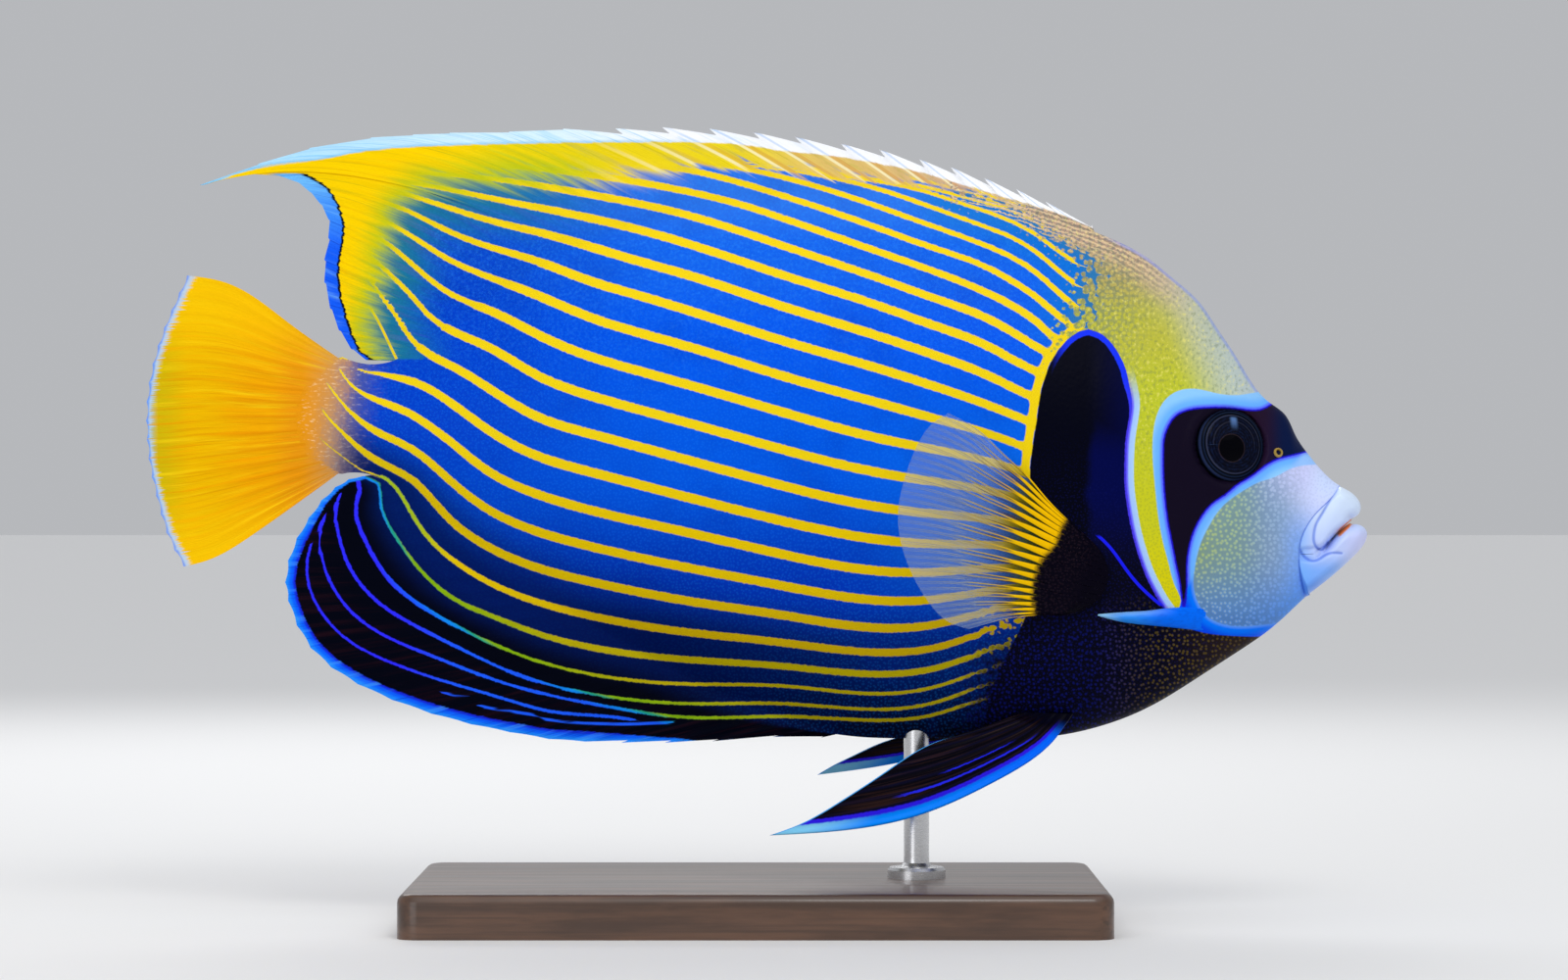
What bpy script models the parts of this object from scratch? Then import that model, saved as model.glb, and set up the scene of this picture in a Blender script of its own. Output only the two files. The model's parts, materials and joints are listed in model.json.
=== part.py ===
"""Emperor angelfish, life size, held in a swimming pose on a display stand.

The fish faces +X and is upright along +Z; the stand rests on z = 0. Outlines are
(x, z) points in millimetres on the fish's middle plane.
"""

import math

import bmesh
import bpy
import numpy as np
from mathutils import Matrix, Vector

MM = 0.001
GAP = 0.3                 # free space between two pieces that touch
RIM = 0.25                # half thickness left at a body's outline
FIN_ROOT = 1.8            # half thickness of a median fin at its root
STALK_END_HALF = 2.2      # half thickness of the tail fin at its root
FIN_EDGE = 0.32           # half thickness of a membrane at its edge
RAY_HEIGHT = 0.28         # how far a fin ray stands out of its membrane
STALK_X = -78.0           # where the tail stalk meets the trunk
MID_SHARE = 0.47          # height of the widest line, as a share of the body's depth
# How full the cross-section is over and under its widest line, at each x: 0.5 is an ellipse, 1 is leaner.
FULLNESS_ABOVE = (-120, 0, 90, 130, 165), (1.1, 1.0, 0.82, 0.62, 0.55)
FULLNESS_BELOW = (-120, -20, 30, 80, 165), (1.15, 1.05, 0.8, 0.58, 0.55)
EYE_CENTRE, EYE_RADIUS = (128.9, 130.8), 10.2
EYE_DEPTH = 11.4          # the eye's rim from the middle plane
EYE_DOME, EYE_FALL = 4.6, 1.8   # height of the eye over its rim, and how much less it is near its edge
EYE_INWARD = 5.0
ORBIT_RADIUS, ORBIT_HEIGHT, ORBIT_WIDTH = 11.8, 0.4, 1.5
COVER_STEP = 0.5          # how far the gill cover stands proud of the trunk
CHEEK_BULGE = 0.6
NOSTRIL = (142.7, 129.0)
NOSTRIL_RADIUS, NOSTRIL_BORE, NOSTRIL_HEIGHT = 1.3, 0.7, 0.6
BASE_SIZE = (190.0, 120.0, 12.0)
BASE_CHAMFER = 2.5
ROD_X = 44.0
ROD_RADIUS = 3.5
ROD_IN_BODY = 9.0
BELLY_AT_ROD = 50.4
DORSAL_SPINES, DORSAL_RAYS = 14, 20
SPINE_NOTCH = 3.2         # how far the membrane is drawn in behind each dorsal spine
NOTCH_SHARE = 0.06        # where that notch lies between two spines
# The lift that bends a dorsal ray at its middle, at a row of ray numbers.
DORSAL_BOW = (8, 14, 17, 20, 21, 22, 24, 27), (0.0, 2.5, 7.0, 10.7, 10.0, 8.0, 4.0, 0.0)
NO_BOW = (0, 1), (0.0, 0.0)
BOW_WAY = np.array((-0.45, 1.0))

BACK = [(-130.2, 165.8), (-118.3, 157.7), (-108.3, 153.6), (-99.1, 154.7), (-89.7, 160.7), (-78.9, 167.9),
        (-62.7, 179.0), (-35.7, 192.0), (-8.7, 199.5), (21.0, 202.8), (48.0, 201.7), (69.6, 197.4),
        (83.1, 193.3), (93.9, 189.5), (107.1, 183.1), (114.7, 177.1), (122.3, 170.1), (126.3, 164.2),
        (131.7, 156.1), (136.3, 148.5), (140.6, 143.4), (145.5, 139.6), (148.5, 133.7), (150.9, 130.0),
        (156.8, 123.0), (160.3, 120.2), (163.6, 118.4), (166.3, 114.1), (168.0, 109.4)]
BELLY = [(-130.2, 112.6), (-118.3, 121.6), (-113.4, 123.4), (-108.0, 123.4), (-100.5, 120.4),
         (-92.4, 113.4), (-81.6, 104.0), (-68.1, 93.7), (-51.9, 83.2), (-33.0, 72.4), (-11.4, 61.6),
         (7.5, 55.1), (23.7, 51.3), (38.0, 50.4), (61.5, 50.4), (83.1, 51.2), (94.5, 53.7), (102.8, 56.6),
         (110.1, 60.1), (122.1, 67.5), (133.2, 74.7), (141.7, 80.7), (147.5, 85.9), (151.7, 89.8),
         (158.3, 94.9), (163.0, 99.1), (166.5, 102.6), (168.0, 106.4)]
HALF_WIDTH = [(-130.2, 1.6), (-126.5, 2.2), (-118.0, 3.4), (-105.9, 6.0), (-95.0, 8.3), (-73.5, 12.5),
              (-46.5, 17.0), (-19.5, 20.5), (7.5, 23.0), (34.5, 24.5), (61.5, 25.5), (83.1, 25.5),
              (102.0, 23.5), (115.5, 20.8), (130.9, 16.5), (142.5, 12.6), (153.3, 9.6), (160.3, 7.6),
              (165.0, 5.2), (168.2, 2.0)]
GILL_EDGE = [(93.5, 189.6), (88.0, 164.7), (86.5, 137.7), (89.6, 118.8), (93.4, 106.7), (98.0, 101.2),
             (110.1, 88.6), (119.6, 78.8), (125.5, 69.7)]
LIP_CREASE = [(160.3, 120.2), (157.8, 116.7), (153.9, 112.6), (151.3, 108.9), (149.8, 105.3),
              (149.5, 99.1), (150.3, 94.5), (151.7, 89.8)]
STALK_END = [(-115.3, 155.2), (-121.5, 149.0), (-125.0, 142.5), (-125.3, 137.0), (-123.0, 129.5),
             (-115.3, 123.3)]

DORSAL_TIPS = [(92.3, 191.7), (79.6, 198.2), (71.5, 201.7), (62.6, 204.8), (53.4, 207.8), (44.8, 209.9),
               (33.8, 212.6), (23.2, 214.2), (10.5, 216.1), (-1.1, 217.4), (-13.0, 218.3), (-26.0, 218.7),
               (-38.9, 218.4), (-53.2, 218.3), (-68.1, 217.5), (-84.6, 217.2), (-94.7, 216.7),
               (-106.2, 215.9), (-123.2, 213.0), (-137.2, 208.7), (-153.4, 202.8), (-140.2, 206.0),
               (-131.6, 205.4), (-126.5, 203.6), (-123.2, 201.0), (-120.2, 197.6), (-118.0, 193.4),
               (-118.0, 188.2), (-119.1, 182.2), (-119.1, 176.0), (-117.5, 168.8), (-115.1, 162.8),
               (-111.7, 157.6), (-107.6, 154.6)]
DORSAL_ROOT_X = (93.0, -16.2, -27.0, -100.0)
ANAL_TIPS = [(17.8, 50.6), (4.5, 50.8), (-12.2, 49.6), (-25.3, 49.2), (-37.3, 49.2), (-47.3, 49.5),
             (-57.3, 50.2), (-68.1, 52.1), (-78.9, 54.3), (-89.7, 57.2), (-100.5, 61.0), (-109.9, 65.3),
             (-117.2, 69.9), (-122.9, 75.3), (-126.7, 81.5), (-129.1, 88.3), (-129.9, 93.4),
             (-129.1, 99.4), (-126.7, 105.6), (-123.4, 111.2), (-119.9, 116.0), (-116.1, 119.6),
             (-112.4, 121.8), (-108.6, 122.6)]
ANAL_ROOT_X = (22.0, -106.0)
CAUDAL_REAR = [(-156.9, 177.9), (-162.9, 164.4), (-166.2, 154.4), (-168.1, 142.3), (-168.1, 134.2),
               (-167.3, 125.8), (-165.1, 115.8), (-162.4, 106.5), (-157.9, 97.7)]
CAUDAL_TOP = [(-115.6, 155.5), (-129.4, 165.2), (-146.4, 176.0), (-156.9, 177.9)]
CAUDAL_BOTTOM = [(-115.6, 123.0), (-129.4, 113.1), (-140.4, 105.4), (-151.3, 99.4), (-157.9, 97.7)]
CAUDAL_RAYS = 17

PECTORAL_LOBE = [(88.6, 107.0), (93.5, 101.8), (95.3, 95.8), (93.0, 89.6), (84.0, 84.8)]
PECTORAL_EDGE = [(51.5, 139.4), (46.8, 136.2), (42.6, 129.6), (39.6, 121.3), (38.0, 111.4), (38.9, 104.2),
                 (42.1, 95.6), (46.1, 88.9), (51.4, 83.6), (57.0, 81.6)]
PECTORAL_TOP = [(88.6, 107.0), (79.5, 115.6), (72.5, 123.5), (67.0, 128.5), (60.5, 134.4), (51.5, 139.4)]
PECTORAL_LOW = [(84.0, 84.8), (70.0, 84.4), (57.0, 81.6)]
PECTORAL_AT = (80.0, 97.0)
PECTORAL_SPREAD = 16.0    # how far the tip stands off the flank
PECTORAL_FLESH = 3.2      # thickness of the pectoral fin's fleshy base
FLESH_SHARE = 0.45        # where that thickness has run out, as a share of the fin
PECTORAL_RAYS = 19
MEMBRANE = 0.6            # thickness of a paired fin between its rays
PELVIC_ROOT = [(86.5, 57.5), (80.0, 57.8), (72.0, 58.0)]
PELVIC_RIGHT_TIPS = [(3.6, 25.2), (12.0, 28.2), (22.5, 34.0), (35.0, 42.0), (46.0, 48.8), (60.5, 53.0)]
PELVIC_LEFT_TIPS = [(17.0, 37.8), (21.5, 40.6), (27.0, 43.5), (34.0, 47.0), (46.0, 50.8), (60.5, 54.0)]
PELVIC_LEAD = [(86.5, 57.5), (82.0, 50.8), (66.2, 39.6), (43.2, 29.8), (3.6, 25.2)]
PELVIC_LEAD_LEFT = [(86.5, 57.5), (80.0, 52.5), (60.0, 47.0), (40.0, 42.0), (17.0, 37.8)]
PELVIC_SPREAD = (18.0, 40.0)
PELVIC_ROOT_HALF = 5.0    # each pelvic fin's distance from the middle plane at its root
PELVIC_FLESH = 1.4        # how much thicker a pelvic fin is at its root

UPPER_LIP = [(160.6, 119.8), (163.6, 118.2), (165.7, 116.1), (166.4, 114.0), (165.8, 112.2),
             (163.6, 110.8)]
LOWER_LIP = [(152.2, 90.3), (158.6, 95.3), (163.3, 99.5), (166.5, 102.8), (167.9, 105.3), (168.0, 107.4),
             (166.5, 109.0), (163.6, 109.4)]
MOUTH_LINE = [(163.6, 110.1), (160.4, 107.6), (157.6, 104.6), (155.2, 102.2), (152.8, 101.4),
              (150.2, 101.2)]

CHEEK = [(154.7, 125.8), (147.4, 124.7), (142.5, 122.3), (138.5, 121.0), (134.4, 118.8), (130.4, 116.1),
         (127.1, 112.9), (124.4, 108.5), (122.3, 103.9), (120.9, 98.6), (120.4, 94.5), (120.7, 90.5),
         (122.0, 86.9), (124.2, 84.0), (127.7, 82.1), (134.4, 81.3), (142.5, 82.1)]
CHEEK_SPINE_TOP = [(92.5, 85.1), (99.9, 85.7), (106.7, 86.1), (116.6, 87.2), (124.4, 86.6)]
CHEEK_SPINE_LOW = [(92.5, 84.6), (98.0, 83.2), (109.7, 81.7), (116.0, 81.0), (124.4, 80.0)]
CHEEK_SPINE_HEIGHT = 2.4

MOUTH_GAP = 1.0
LIP_COLUMNS, LIP_ROWS = 21, 10
LIP_RIM = 1.0             # half width of a lip along its free edge
LIP_ROLL = 3.6            # width of the rounded edge of a lip
JAW_CENTRE_X, JAW_LENGTH, JAW_HALF = 149.0, 19.4, 9.6
BODY_ROWS, HEAD_COLUMNS, TRUNK_COLUMNS, STALK_COLUMNS = 23, 30, 23, 7
EYE_SEGMENTS, EYE_RINGS = 20, 10
PAIRED_FIN_ROWS = 8

COLOURS = {
    "head": (0.05, 0.06, 0.16), "torso": (0.04, 0.12, 0.42), "tail_stalk": (0.30, 0.33, 0.30),
    "caudal_fin": (0.90, 0.55, 0.03), "dorsal_fin": (0.85, 0.62, 0.06), "anal_fin": (0.04, 0.05, 0.13),
    "pectoral_fin": (0.30, 0.34, 0.36), "pelvic_fin": (0.02, 0.04, 0.12), "lips": (0.62, 0.68, 0.80),
    "eye": (0.03, 0.02, 0.02), "cheek_spine": (0.06, 0.16, 0.60), "stand_wood": (0.09, 0.045, 0.025),
    "stand_steel": (0.62, 0.63, 0.65),
}


def smooth_path(points, count):
    """The natural cubic spline through the points, as count points evenly spaced along it."""
    p = np.array(points, float)
    t = np.r_[0, np.cumsum(np.linalg.norm(np.diff(p, axis=0), axis=1))]
    h, n = np.diff(t), len(p)
    matrix, side = np.eye(n), np.zeros_like(p)
    for i in range(1, n - 1):
        matrix[i, i - 1:i + 2] = h[i - 1], 2 * (h[i - 1] + h[i]), h[i]
        side[i] = 6 * ((p[i + 1] - p[i]) / h[i] - (p[i] - p[i - 1]) / h[i - 1])
    bend = np.linalg.solve(matrix, side)
    s = np.linspace(0, t[-1], count)
    k = np.clip(np.searchsorted(t, s) - 1, 0, n - 2)
    a, b = ((t[k + 1] - s) / h[k])[:, None], ((s - t[k]) / h[k])[:, None]
    curve = ((a**3 - a) * bend[k] + (b**3 - b) * bend[k + 1]) * h[k][:, None] ** 2 / 6
    return a * p[k] + b * p[k + 1] + curve


def resampled(path, shares):
    """The points at these shares of the path's length."""
    run = np.r_[0, np.cumsum(np.linalg.norm(np.diff(path, axis=0), axis=1))]
    return np.stack([np.interp(np.array(shares) * run[-1], run, path[:, i]) for i in (0, 1)], axis=1)


def between(path, first_x, last_x, count):
    """count points of a path that rises in x, evenly spaced along it from first_x to last_x."""
    x = np.linspace(first_x, last_x, 200)
    return resampled(np.stack([x, np.interp(x, path[:, 0], path[:, 1])], axis=1), np.linspace(0, 1, count))


def shifted(path, distance):
    """The path moved to its left side, along its own normals."""
    way = np.gradient(path, axis=0)
    way /= np.linalg.norm(way, axis=1)[:, None]
    return path + distance * np.stack([-way[:, 1], way[:, 0]], axis=1)


def distance_to(points, path):
    """How far each point lies from a path."""
    away = np.full(points.shape[:-1], np.inf)
    for start, end in zip(path[:-1], path[1:]):
        way = end - start
        off = points - start
        t = np.clip(off @ way / (way @ way), 0, 1)
        away = np.minimum(away, np.linalg.norm(off - t[..., None] * way, axis=-1))
    return away


def smoothstep(x, low, high):
    t = np.clip((x - low) / (high - low), 0, 1)
    return t * t * (3 - 2 * t)


def quarter_round(x, width):
    """Rises from 0 to 1 like a quarter of a circle over the width."""
    return np.sqrt(1 - (1 - np.clip(x / width, 0, 1)) ** 2)


BACK_PATH, BELLY_PATH, WIDTH_PATH = (smooth_path(p, 400) for p in (BACK, BELLY, HALF_WIDTH))


def fin_root(x, first_x, last_x):
    """Half thickness of a median fin where it stands on the body, faded out past its ends."""
    return FIN_ROOT * np.clip((first_x + 6 - x) / 10, 0, 1) * np.clip((x - last_x + 8) / 10, 0, 1)


def half_thickness(x, z):
    """The body's half thickness at a point of the side view."""
    x, z = np.asarray(x, float), np.asarray(z, float)
    top = np.interp(x, BACK_PATH[:, 0], BACK_PATH[:, 1])
    low = np.interp(x, BELLY_PATH[:, 0], BELLY_PATH[:, 1])
    width = np.interp(x, WIDTH_PATH[:, 0], WIDTH_PATH[:, 1])
    mid = low + MID_SHARE * (top - low)
    u = np.clip(np.where(z > mid, (z - mid) / (top - mid), (mid - z) / (mid - low)), 0, 1)
    fullness = np.where(z > mid, np.interp(x, *FULLNESS_ABOVE), np.interp(x, *FULLNESS_BELOW))
    body = width * (1 - u**2.1) ** fullness
    root = np.where(z > mid, fin_root(x, DORSAL_ROOT_X[0], DORSAL_ROOT_X[-1]), fin_root(x, *ANAL_ROOT_X))
    return (body**3 + root**3 + RIM**3) ** (1 / 3)


def patch(bottom, top, rear, front):
    """A sheet of rows between four outlines, each running left to right or upwards: rows x columns x 2."""
    u = np.linspace(0, 1, len(bottom))[None, :, None]
    v = np.linspace(0, 1, len(rear))[:, None, None]
    corners = (1 - v) * ((1 - u) * bottom[0] + u * bottom[-1]) + v * ((1 - u) * top[0] + u * top[-1])
    return (1 - v) * bottom + v * top + (1 - u) * rear[:, None] + u * front[:, None] - corners


def material(name):
    made = bpy.data.materials.get(name)
    if made is None:
        made = bpy.data.materials.new(name)
        made.use_nodes = True
        surface = made.node_tree.nodes["Principled BSDF"]
        steel = name == "stand_steel"
        surface.inputs["Base Color"].default_value = (*COLOURS[name], 1)
        surface.inputs["Roughness"].default_value = 0.25 if steel else 0.4
        surface.inputs["Metallic"].default_value = 1.0 if steel else 0.0
    return made


def to_object(bm, name, slot, smooth_angle=50):
    mesh = bpy.data.meshes.new(name)
    bm.to_mesh(mesh)
    bm.free()
    mesh.shade_smooth()
    mesh.set_sharp_from_angle(angle=math.radians(smooth_angle))
    mesh.materials.append(material(slot))
    made = bpy.data.objects.new(name, mesh)
    collection.objects.link(made)
    return made


def slab(name, slot, sheet, near, far):
    """The closed body over a sheet of (x, z) points, between y = near and y = far at each point."""
    rows, columns = sheet.shape[:2]
    bm = bmesh.new()
    bmesh.ops.create_grid(bm, x_segments=columns - 1, y_segments=rows - 1, size=1)
    at = bm.verts.layers.int.new("at")
    for i, vert in enumerate(bm.verts):
        vert[at] = i
    bmesh.ops.triangulate(bm, faces=bm.faces[:])
    made = bmesh.ops.extrude_face_region(bm, geom=bm.faces[:])
    second = {element for element in made["geom"] if isinstance(element, bmesh.types.BMVert)}
    points, near, far = sheet.reshape(-1, 2), near.reshape(-1), far.reshape(-1)
    for vert in bm.verts:
        i = vert[at]
        y = far[i] if vert in second else near[i]
        vert.co = (points[i, 0] * MM, y * MM, points[i, 1] * MM)
    bm.verts.layers.int.remove(at)
    bmesh.ops.recalc_face_normals(bm, faces=bm.faces[:])
    return to_object(bm, name, slot)


def body_piece(name, slot, columns, rear, front, relief=None):
    """A piece of the body between two curves that run from the belly to the back."""
    rise = (1 - np.cos(np.linspace(0, math.pi, BODY_ROWS))) / 2
    rear, front = (resampled(np.array(curve, float), rise) for curve in (rear, front))
    belly = between(BELLY_PATH, rear[0, 0], front[0, 0], columns)
    back = between(BACK_PATH, rear[-1, 0], front[-1, 0], columns)
    u = np.linspace(0, 1, columns)[None, :]
    v = rise[:, None]
    flat = (1 - v)[..., None] * belly + v[..., None] * back
    ends = [(1 - v) * belly[i] + v * back[i] for i in (0, -1)]
    sheet = flat + (1 - u)[..., None] * (rear - ends[0])[:, None] + u[..., None] * (front - ends[1])[:, None]
    half = half_thickness(sheet[..., 0], sheet[..., 1])
    if relief is not None:
        half = half + relief(sheet)
    return slab(name, slot, sheet, -half, half)


def ray_fin(name, slot, root, tips, rows, root_half, bow=NO_BOW, spines=0, sides=None):
    """A median fin: a ridge along each ray, with the membrane between. Behind each of its first rays, the
    spines, the edge is notched. sides are its first and last ray where those aren't straight."""
    tips = np.array(tips, float)
    last = len(tips) - 1
    ray = np.arange(0, last + 0.5, 0.5)
    ray = np.sort(np.append(ray, np.arange(spines) + NOTCH_SHARE))
    root = resampled(root, ray / last) if len(root) != 2 * last + 1 else at_rays(root, ray * 2)
    edge = at_rays(tips, ray)
    share = ray % 1
    inwards = (root - edge) / np.maximum(np.linalg.norm(root - edge, axis=1), 1)[:, None]
    notch = SPINE_NOTCH * np.clip(np.linalg.norm(root - edge, axis=1) / 9, 0, 1) * (share > 0) * (1 - share)
    edge = edge + (notch * (ray < spines))[:, None] * inwards
    s = np.linspace(0, 1, rows)
    first, final = sides or ([root[0], edge[0]], [root[-1], edge[-1]])
    sheet = patch(root, edge, *(resampled(smooth_path(side, 60), s) for side in (first, final)))
    lift = np.interp(ray, *bow)[None, :] * 4 * (s * (1 - s))[:, None]
    sheet = sheet + lift[..., None] * BOW_WAY
    s = s[:, None]
    half = FIN_EDGE + (root_half - FIN_EDGE) * (1 - s) ** 1.6
    half = half + RAY_HEIGHT * (share == 0) * (1 - s**3) * np.clip(s * 6, 0, 1)
    slab(name, slot, sheet, -half, half)


def at_rays(points, ray):
    """The points at these places of a list of points, counted from 0."""
    return np.stack([np.interp(ray, np.arange(len(points)), points[:, i]) for i in (0, 1)], axis=1)


def side_fin(name, slot, sheet, side, stand_off, thick, relief=0.0):
    """A paired fin on one flank (side -1 is the right): it lies on the body at its root, then stands off."""
    lie = half_thickness(sheet[..., 0], sheet[..., 1]) + relief + GAP
    inner = np.maximum(lie, stand_off)
    slab(name, slot, sheet, side * (inner + thick), side * inner)


def outward(x, z, side):
    """A transform that sets a piece down on the flank at (x, z) with its +Z along the surface's normal."""
    slope = [float(half_thickness(x + dx, z + dz)) for dx, dz in ((1, 0), (-1, 0), (0, 1), (0, -1))]
    facing = Vector(((slope[1] - slope[0]) / 2, side, (slope[3] - slope[2]) / 2))
    return facing.to_track_quat("Z", "Y").to_matrix().to_4x4()


def eye_shape(side, grow=0.0, reach=0.0):
    """An eye: a low dome that faces out of the head, reach being how far it is drawn out beyond that."""
    bm = bmesh.new()
    bmesh.ops.create_uvsphere(bm, u_segments=EYE_SEGMENTS, v_segments=EYE_RINGS, radius=1)
    for vert in bm.verts:
        share = min(math.hypot(vert.co.x, vert.co.y), 1.0)
        dome = (EYE_DOME - EYE_FALL * share**2) * math.sqrt(1 - share**12)
        if vert.co.z > 0.01:
            height = dome + grow + reach
        else:
            height = (EYE_INWARD + grow) * vert.co.z
        vert.co = Vector((vert.co.x * (EYE_RADIUS + grow), vert.co.y * (EYE_RADIUS + grow), height)) * MM
    x, z = EYE_CENTRE
    place = Matrix.Translation((x * MM, side * EYE_DEPTH * MM, z * MM)) @ outward(x, z, side)
    bmesh.ops.transform(bm, matrix=place, verts=bm.verts[:])
    return bm


def nostril_shape(side, radius, low, high):
    """A short round piece across the head's surface at a nostril, from low to high along its normal."""
    x, z = NOSTRIL
    bm = bmesh.new()
    bmesh.ops.create_cone(bm, cap_ends=True, segments=12, radius1=radius * MM, radius2=radius * MM,
                          depth=(high - low) * MM)
    bmesh.ops.translate(bm, vec=(0, 0, (low + high) / 2 * MM), verts=bm.verts[:])
    place = Matrix.Translation((x * MM, side * float(half_thickness(x, z)) * MM, z * MM))
    bmesh.ops.transform(bm, matrix=place @ outward(x, z, side), verts=bm.verts[:])
    return bm


def combine(target, bm, name, operation="DIFFERENCE"):
    """Takes a shape out of a piece, or joins it on."""
    mesh = bpy.data.meshes.new(name)
    bm.to_mesh(mesh)
    bm.free()
    guide = bpy.data.objects.new(name, mesh)
    cutters.objects.link(guide)
    guide.hide_render = True
    guide.display_type = "WIRE"
    boolean = target.modifiers.new(name, "BOOLEAN")
    boolean.operation = operation
    boolean.object = guide


def upright_cylinder(radius, low, high, segments):
    bm = bmesh.new()
    bmesh.ops.create_cone(bm, cap_ends=True, segments=segments, radius1=radius * MM, radius2=radius * MM,
                          depth=(high - low) * MM)
    bmesh.ops.translate(bm, vec=(ROD_X * MM, 0, (low + high) / 2 * MM), verts=bm.verts[:])
    return bm


def face_relief(sheet):
    """The raised orbit, gill cover and cheek, in millimetres added to the head's half thickness."""
    half = half_thickness(sheet[..., 0], sheet[..., 1])
    from_eye = np.linalg.norm(sheet - EYE_CENTRE, axis=-1)
    orbit = ORBIT_HEIGHT * np.exp(-((from_eye - ORBIT_RADIUS) / ORBIT_WIDTH) ** 2)
    behind = distance_to(sheet, smooth_path(GILL_EDGE, 60))
    cover = COVER_STEP * (1 - smoothstep(behind, 2, 24)) * (1 - smoothstep(sheet[..., 1], 137, 162))
    cheek = smooth_path(CHEEK, 60)
    from_middle = np.linalg.norm(sheet - cheek.mean(axis=0), axis=-1)
    reach = from_middle / (from_middle + distance_to(sheet, cheek))
    bulge = CHEEK_BULGE * smoothstep(1 - reach, 0, 0.3)
    return (orbit + cover + bulge) * np.clip(half / 6, 0, 1)


def build_body():
    gill = smooth_path(GILL_EDGE[::-1], 120)
    stalk_line = [[STALK_X, np.interp(STALK_X, path[:, 0], path[:, 1])] for path in (BELLY_PATH, BACK_PATH)]
    stalk_line = resampled(np.array(stalk_line), np.linspace(0, 1, 60))
    half_gap = np.array([GAP / 2, 0])
    crease = smooth_path(LIP_CREASE[::-1], 120)
    head = body_piece("head", "head", HEAD_COLUMNS, gill + half_gap, crease - half_gap, face_relief)
    trunk = body_piece("torso", "torso", TRUNK_COLUMNS, stalk_line + half_gap, gill - half_gap)
    body_piece("tail_stalk", "tail_stalk", STALK_COLUMNS, smooth_path(STALK_END[::-1], 80),
               stalk_line - half_gap)
    for side, hand in ((-1, "right"), (1, "left")):
        to_object(eye_shape(side), "eye_" + hand, "eye")
        combine(head, eye_shape(side, GAP, EYE_DOME), "eye_socket_" + hand)
        tube = nostril_shape(side, NOSTRIL_RADIUS, -2 * NOSTRIL_HEIGHT, NOSTRIL_HEIGHT)
        combine(head, tube, "nostril_" + hand, "UNION")
        bore = nostril_shape(side, NOSTRIL_BORE, -NOSTRIL_HEIGHT, 2 * NOSTRIL_HEIGHT)
        combine(head, bore, "nostril_bore_" + hand)
    socket = upright_cylinder(ROD_RADIUS + GAP, BELLY_AT_ROD - 10, BELLY_AT_ROD + ROD_IN_BODY + GAP, 32)
    combine(trunk, socket, "rod_socket")


def build_median_fins():
    spines = between(BACK_PATH, *DORSAL_ROOT_X[:2], 2 * DORSAL_SPINES - 1)
    rays = between(BACK_PATH, *DORSAL_ROOT_X[2:], 2 * DORSAL_RAYS - 1)
    root = shifted(np.vstack([spines, (spines[-1:] + rays[:1]) / 2, rays]), -GAP)
    ray_fin("dorsal_fin", "dorsal_fin", root, DORSAL_TIPS, 6, FIN_ROOT, DORSAL_BOW, DORSAL_SPINES - 1)
    root = shifted(between(BELLY_PATH, *ANAL_ROOT_X, 2 * len(ANAL_TIPS) - 1), GAP)
    ray_fin("anal_fin", "anal_fin", root, ANAL_TIPS, 6, FIN_ROOT)
    root = shifted(smooth_path(STALK_END, 120), -GAP)
    tips = resampled(smooth_path(CAUDAL_REAR, 120), np.linspace(0, 1, CAUDAL_RAYS))
    sides = [[end, *side[1:]] for end, side in ((root[0], CAUDAL_TOP), (root[-1], CAUDAL_BOTTOM))]
    ray_fin("caudal_fin", "caudal_fin", root, tips, 7, STALK_END_HALF, sides=sides)


def ridges(count):
    """The height of a paired fin's surface at its columns: every other one is a ray."""
    height = np.zeros(count)
    height[::2] = RAY_HEIGHT
    return height


def build_paired_fins():
    s = np.linspace(0, 1, PAIRED_FIN_ROWS)[:, None]
    count = 2 * PECTORAL_RAYS - 1
    top, low = (resampled(smooth_path(ray, 40), s[:, 0]) for ray in (PECTORAL_TOP, PECTORAL_LOW))
    sheet = patch(smooth_path(PECTORAL_LOBE, count), smooth_path(PECTORAL_EDGE, count), top, low)
    spread = PECTORAL_SPREAD * (np.clip(s - 0.18, 0, 1) / 0.8) ** 1.3
    stand_off = half_thickness(*PECTORAL_AT) + spread
    thick = np.maximum(PECTORAL_FLESH * (1 - s / FLESH_SHARE), MEMBRANE)
    thick = thick * np.clip(s * 8, 0.35, 1) + ridges(count) * (1 - s**3)
    for side, hand in ((-1, "right"), (1, "left")):
        side_fin("pectoral_fin_" + hand, "pectoral_fin", sheet, side, stand_off, thick)
    poses = ((-1, "right", PELVIC_RIGHT_TIPS, PELVIC_LEAD), (1, "left", PELVIC_LEFT_TIPS, PELVIC_LEAD_LEFT))
    for (side, hand, tips, lead), spread in zip(poses, PELVIC_SPREAD):
        count = 2 * len(tips) - 1
        tips, root = smooth_path(tips, count), smooth_path(PELVIC_ROOT, count)
        bend = resampled(smooth_path(lead, 40), s[:, 0]) - ((1 - s) * root[0] + s * tips[0])
        from_lead = np.linspace(0, 1, count)[None, :, None]
        sheet = (1 - s)[..., None] * root + s[..., None] * tips + bend[:, None] * (1 - from_lead) ** 2
        run = (root[0, 0] - sheet[..., 0]) / (root[0, 0] - tips[0, 0])
        thick = MEMBRANE + PELVIC_FLESH * (1 - s) + ridges(count)
        side_fin("pelvic_fin_" + hand, "pelvic_fin", sheet, side, PELVIC_ROOT_HALF + spread * run, thick)


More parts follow.
